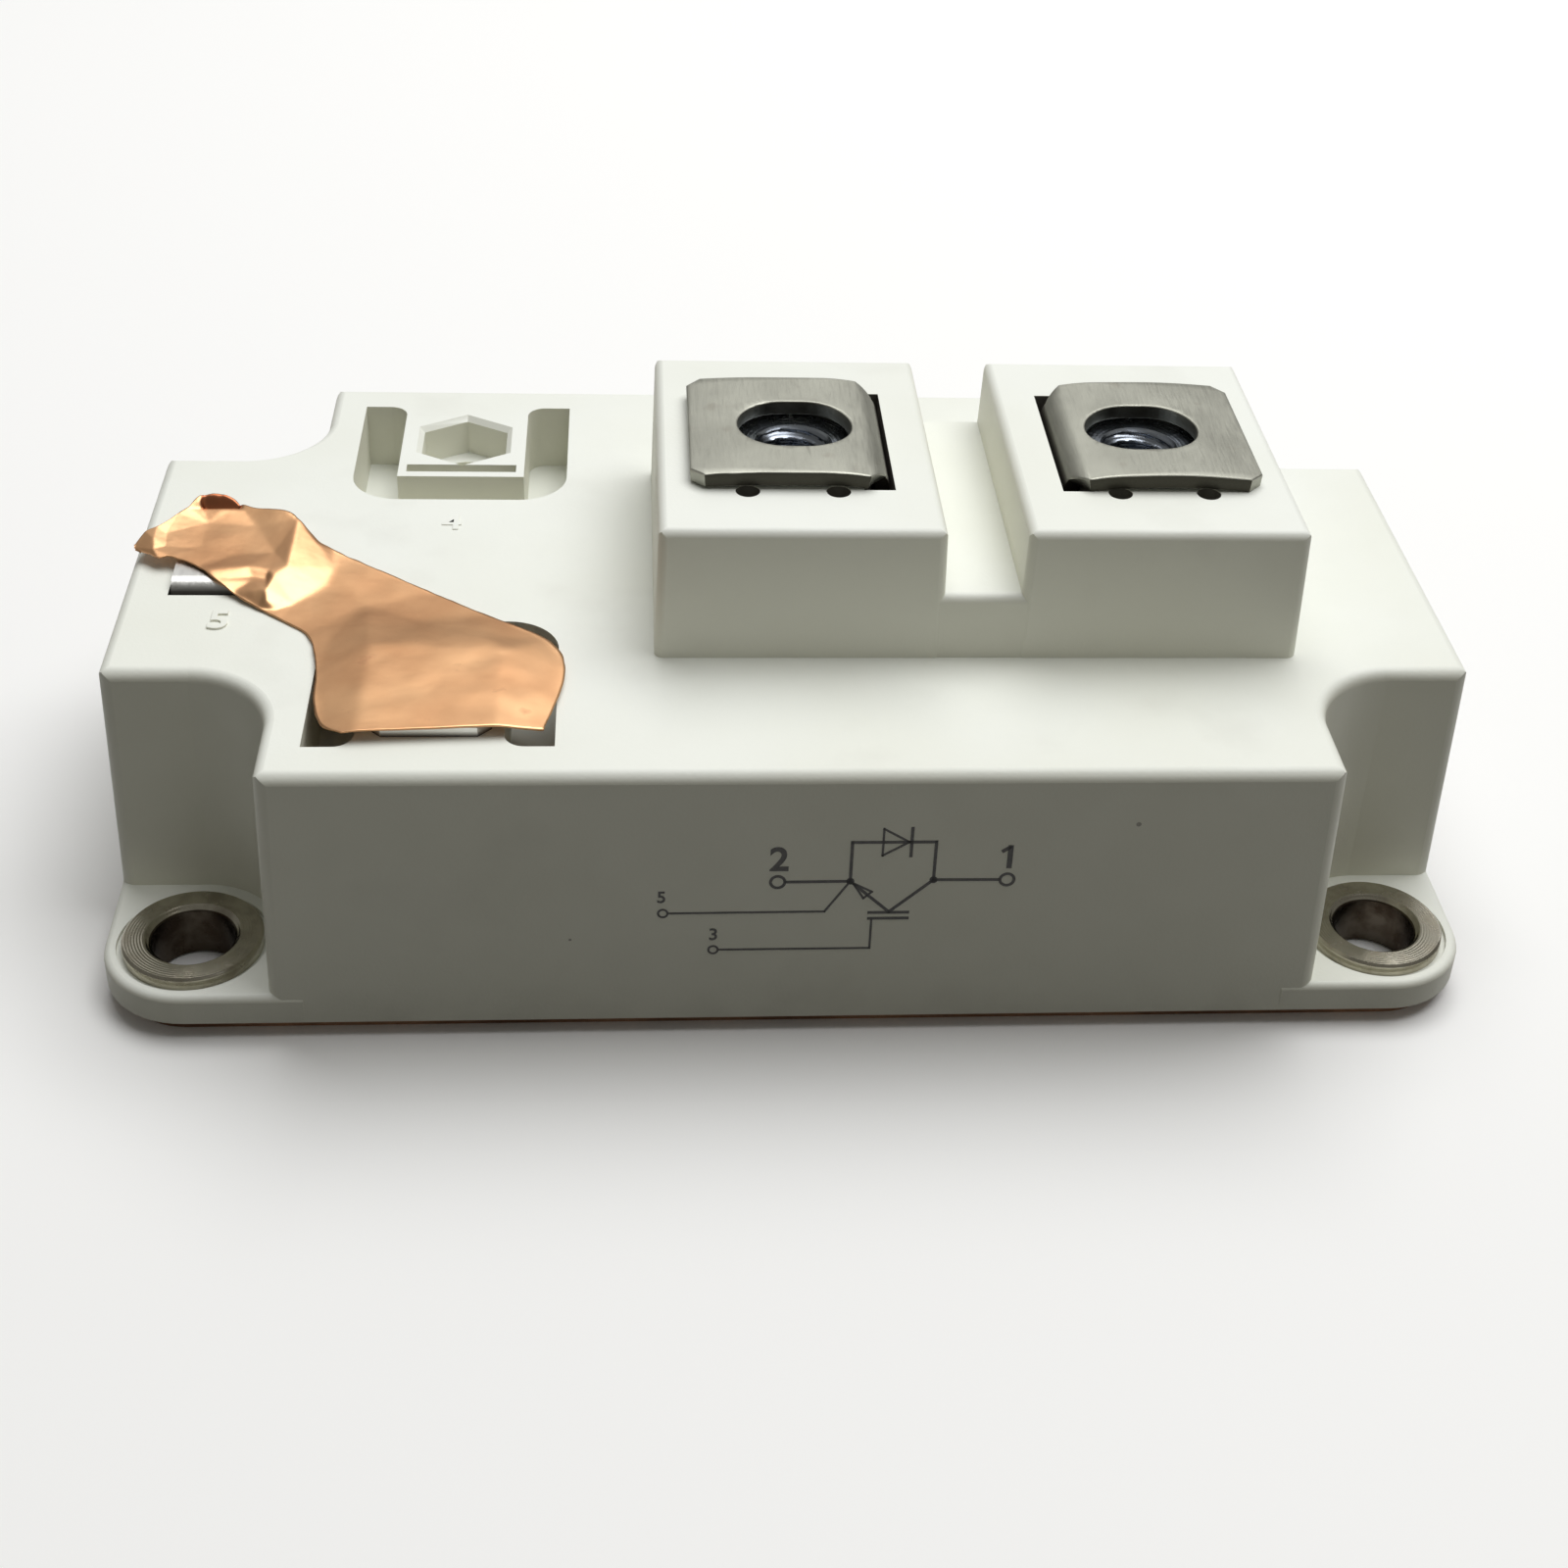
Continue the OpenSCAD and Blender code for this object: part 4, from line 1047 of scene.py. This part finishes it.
def lay_on_front(build, thickness):
    """Lays flat work, x across and y up, on the front wall, its lower side a little sunk in."""
    depths = [vert.co.z for vert in build.verts]
    middle = (min(depths) + max(depths)) / 2
    for vert in build.verts:
        x, z = vert.co.x, vert.co.y
        proud = thickness if vert.co.z > middle else -thickness / 2
        vert.co = Vector((x, WALL_FOOT_Y + (z - WALL_FOOT_Z) * WALL_LEAN - proud, z))


def thicken_flat(build, thickness):
    """Gives flat faces a second side above them and walls between."""
    made = bmesh.ops.extrude_face_region(build, geom=build.faces[:], use_keep_orig=True)["geom"]
    raised = [item for item in made if isinstance(item, bmesh.types.BMVert)]
    bmesh.ops.translate(build, verts=raised, vec=(0, 0, thickness))


INK = 0.03 * MM
WALL_FOOT_Z = 1.4 * MM
WALL_FOOT_Y = -30.7 * MM
WALL_LEAN = 0.675 / 22.5

# Sizes and places on the wall, in millimetres: across from the middle, and up from the floor
BOLD = 0.24
THIN = 0.17
LEFT_NODE = (3.24, 14.33)
RIGHT_NODE = (9.45, 14.41)
RING_2 = (-2.15, 14.30)
RING_1 = (14.97, 14.38)
RING_5 = (-10.61, 11.47)
RING_3 = (-6.82, 8.0)
BIG_RING = 0.64
SMALL_RING = 0.43
JOINT = 0.3
PINHOLE = 0.01
BIG_LINE = 0.22
SMALL_LINE = 0.16
DIODE_UP = 17.88
CATHODE = 7.62
CATHODE_HALF = 1.25
BEND_5 = (1.43, 11.53)
BEND_3 = (5.0, 8.02)
MEETING = (6.27, 11.45)
BARS = (4.8, 7.7)
BAR_UP = 11.39
GATE_UP = 10.84
BOLD_STROKES = [
    ((RING_2[0] + BIG_RING, RING_2[1]), LEFT_NODE), (RIGHT_NODE, (RING_1[0] - BIG_RING, RING_1[1])),
    (LEFT_NODE, (LEFT_NODE[0], DIODE_UP)), ((LEFT_NODE[0], DIODE_UP), (RIGHT_NODE[0], DIODE_UP)),
    ((RIGHT_NODE[0], DIODE_UP), RIGHT_NODE),
    ((CATHODE, DIODE_UP - CATHODE_HALF), (CATHODE, DIODE_UP + CATHODE_HALF)),
    (LEFT_NODE, MEETING), (RIGHT_NODE, MEETING),
    ((BARS[0], BAR_UP), (BARS[1], BAR_UP)), ((BARS[0], GATE_UP), (BARS[1], GATE_UP)),
]
THIN_STROKES = [
    ((RING_5[0] + SMALL_RING, RING_5[1]), BEND_5), (BEND_5, LEFT_NODE),
    ((RING_3[0] + SMALL_RING, RING_3[1]), BEND_3), (BEND_3, (BEND_3[0], GATE_UP)),
]
DIODE = [(5.52, DIODE_UP - 1.2), (5.52, DIODE_UP + 1.2), (7.45, DIODE_UP)]
ARROW = [(3.45, 14.15), (4.90, 13.34), (4.29, 12.74)]


def diagram():
    build = bmesh.new()
    for start, end in BOLD_STROKES:
        stroke(build, start, end, BOLD)
    for start, end in THIN_STROKES:
        stroke(build, start, end, THIN)
    for corners in (DIODE, ARROW):
        outline(build, corners, THIN)
    for centre in (RING_2, RING_1):
        ring(build, centre, BIG_RING - BIG_LINE, BIG_RING)
    for centre in (RING_5, RING_3):
        ring(build, centre, SMALL_RING - SMALL_LINE, SMALL_RING)
    for centre in (LEFT_NODE, RIGHT_NODE):
        ring(build, centre, PINHOLE, JOINT)
    return build


def ink_piece(name, build):
    """Turns flat work drawn in millimetres into ink on the front wall."""
    bmesh.ops.scale(build, verts=build.verts, vec=(MM, MM, MM))
    bmesh.ops.remove_doubles(build, verts=build.verts, dist=0.0005 * MM)
    thicken_flat(build, INK)
    lay_on_front(build, INK)
    return new_piece(name, mesh_from(build), ink)


# %% Print the diagram and its numbers
CAP_SHARE = 0.72
STEM = 0.4
FLAG = 0.3
FLAG_LOW = Vector((0.52, 0.5))
FLAG_HIGH = Vector((0.05, 0.17))


def number_mesh(text, centre, height, depth, swell=0.0, bevel=0.0):
    """A number as a flat solid about its centre, standing in XY."""
    font = bpy.data.curves.new("number", "FONT")
    font.body = text
    font.size = height / CAP_SHARE
    font.extrude = depth / 2 - bevel
    font.bevel_depth = bevel
    font.offset = swell - bevel
    font.align_x = "CENTER"
    font.align_y = "CENTER"
    build = object_mesh(font)
    xs = [v.co.x for v in build.verts]
    ys = [v.co.y for v in build.verts]
    shift = Vector((centre[0] - (min(xs) + max(xs)) / 2, centre[1] - (min(ys) + max(ys)) / 2, 0))
    bmesh.ops.translate(build, verts=build.verts, vec=shift)
    return build


def number_one(centre, height):
    """A 1 of two bars, its stem and the flag at its top, drawn in millimetres."""
    build = bmesh.new()
    top = Vector((centre[0], centre[1] + height / 2))
    foot = Vector((centre[0], centre[1] - height / 2))
    inset = Vector((0, STEM / 2))
    stroke(build, foot + inset, top - inset, STEM)
    stroke(build, top - FLAG_LOW, top - FLAG_HIGH, FLAG)
    return build


ink_piece("diagram_lines", diagram())
ink_piece("diagram_number_1", number_one((15.03, 16.48), 2.1))
# Each is its text, its centre, its height and how much bolder than the font, in millimetres
NUMBERS = [
    ("2", (-2.09, 16.41), 2.15, 0.06), ("5", (-10.73, 12.98), 1.05, 0.02),
    ("3", (-6.83, 9.47), 1.1, 0.02),
]
for text, centre, height, swell in NUMBERS:
    build = number_mesh(text, Vector(centre) * MM, height * MM, INK, swell * MM)
    lay_on_front(build, INK)
    new_piece("diagram_number_" + text, mesh_from(build), ink)

# %% Raise the numerals of the moulding
# Each is its text, its centre, its height and its thickness, in millimetres
RAISED = [("5", (-44.75, -9.6), 2.5, 0.3), ("4", (-27.8, 5.7), 2.3, 0.15)]
RAISED_SWELL = 0.08 * MM
RAISED_BEVEL = 0.05 * MM
RAISED_MIDDLE = 0.1
for text, centre, height, thick in RAISED:
    build = number_mesh(text, Vector(centre) * MM, height * MM, thick * MM, RAISED_SWELL, RAISED_BEVEL)
    bmesh.ops.translate(build, verts=build.verts, vec=(0, 0, BODY_TOP + thick * RAISED_MIDDLE * MM))
    new_piece("raised_numeral_" + text, mesh_from(build), finish["housing"])

# %% [markdown]
# ## Step 12: floor, light and camera
# The module lies on a plain pale sheet. A large lamp overhead and a little behind gives the soft
# shadow, a wide weak panel at the back is what the flat metals mirror, and a slightly warm room
# light fills the rest. The floor is pale to the camera and in reflections but sends little light
# back, so that it doesn't light the front wall from below.

# %% Floor
FLOOR_HALF = 1.5
FLOOR_PALE = (0.95, 0.95, 0.945)
FLOOR_DIM = (0.11, 0.11, 0.105)


def make_floor():
    build = bmesh.new()
    bmesh.ops.create_grid(build, x_segments=8, y_segments=8, size=FLOOR_HALF)
    mesh = bpy.data.meshes.new("floor")
    build.to_mesh(mesh)
    build.free()
    material, tree, shader, _ = new_finish("floor_paper")
    rays = tree.nodes.new("ShaderNodeLightPath").outputs
    mirrored = sum_up(tree, "MAXIMUM", rays["Is Glossy Ray"], rays["Is Transmission Ray"])
    seen = sum_up(tree, "MAXIMUM", rays["Is Camera Ray"], mirrored)
    base = blend(tree, seen, FLOOR_DIM, FLOOR_PALE)
    fill(tree, shader, {"Base Color": base, "Roughness": 0.9, "Specular IOR Level": 0.0})
    mesh.materials.append(material)
    floor = add_object("floor", mesh)


make_floor()


# %% Lamps and the room's light
LIT_SPOT = Vector((0, 0, 0.02))
SKY_COLOUR = (1.0, 0.98, 0.90, 1)
SKY_STRENGTH = 0.16


def lamp(name, size, power, place):
    """A rectangular lamp that faces the module."""
    light = bpy.data.lights.new(name, "AREA")
    light.shape = "RECTANGLE"
    light.size, light.size_y = size
    light.energy = power
    carrier = add_object(name, light)
    carrier.location = place
    carrier.rotation_mode = "QUATERNION"
    carrier.rotation_quaternion = (LIT_SPOT - Vector(place)).to_track_quat("-Z", "Y")


lamp("key_lamp", size=(0.85, 0.6), power=6.3, place=(0.16, 0.20, 0.73))
lamp("rear_panel", size=(1.2, 0.7), power=0.8, place=(0.05, 0.68, 0.58))
world = bpy.data.worlds.new("room")
world.use_nodes = True
sky = next(n for n in world.node_tree.nodes if n.type == "BACKGROUND")
sky.inputs["Color"].default_value = SKY_COLOUR
sky.inputs["Strength"].default_value = SKY_STRENGTH
bpy.context.scene.world = world

# %% Camera
PITCH, YAW, ROLL = (math.radians(angle) for angle in (33.92, 6.01, 3.32))
EYE = Vector((-13.05, -165.84, 123.55)) * MM
LENS = 53.95
SHIFT = (-0.0322, -0.0633)
forward = Vector((math.sin(YAW) * math.cos(PITCH), math.cos(YAW) * math.cos(PITCH), -math.sin(PITCH)))
level_right = Vector((math.cos(YAW), -math.sin(YAW), 0))
level_up = level_right.cross(forward)
right = level_right * math.cos(ROLL) + level_up * math.sin(ROLL)
up = level_up * math.cos(ROLL) - level_right * math.sin(ROLL)
camera_data = bpy.data.cameras.new("camera")
camera_data.sensor_width = 36
camera_data.lens = LENS
camera_data.shift_x, camera_data.shift_y = SHIFT
camera_data.clip_start = 0.01
camera = add_object("camera", camera_data)
turn = Matrix((right, up, -forward)).transposed()
camera.matrix_world = Matrix.Translation(EYE) @ turn.to_4x4()
bpy.context.scene.camera = camera
bpy.context.scene.view_settings.view_transform = "Standard"
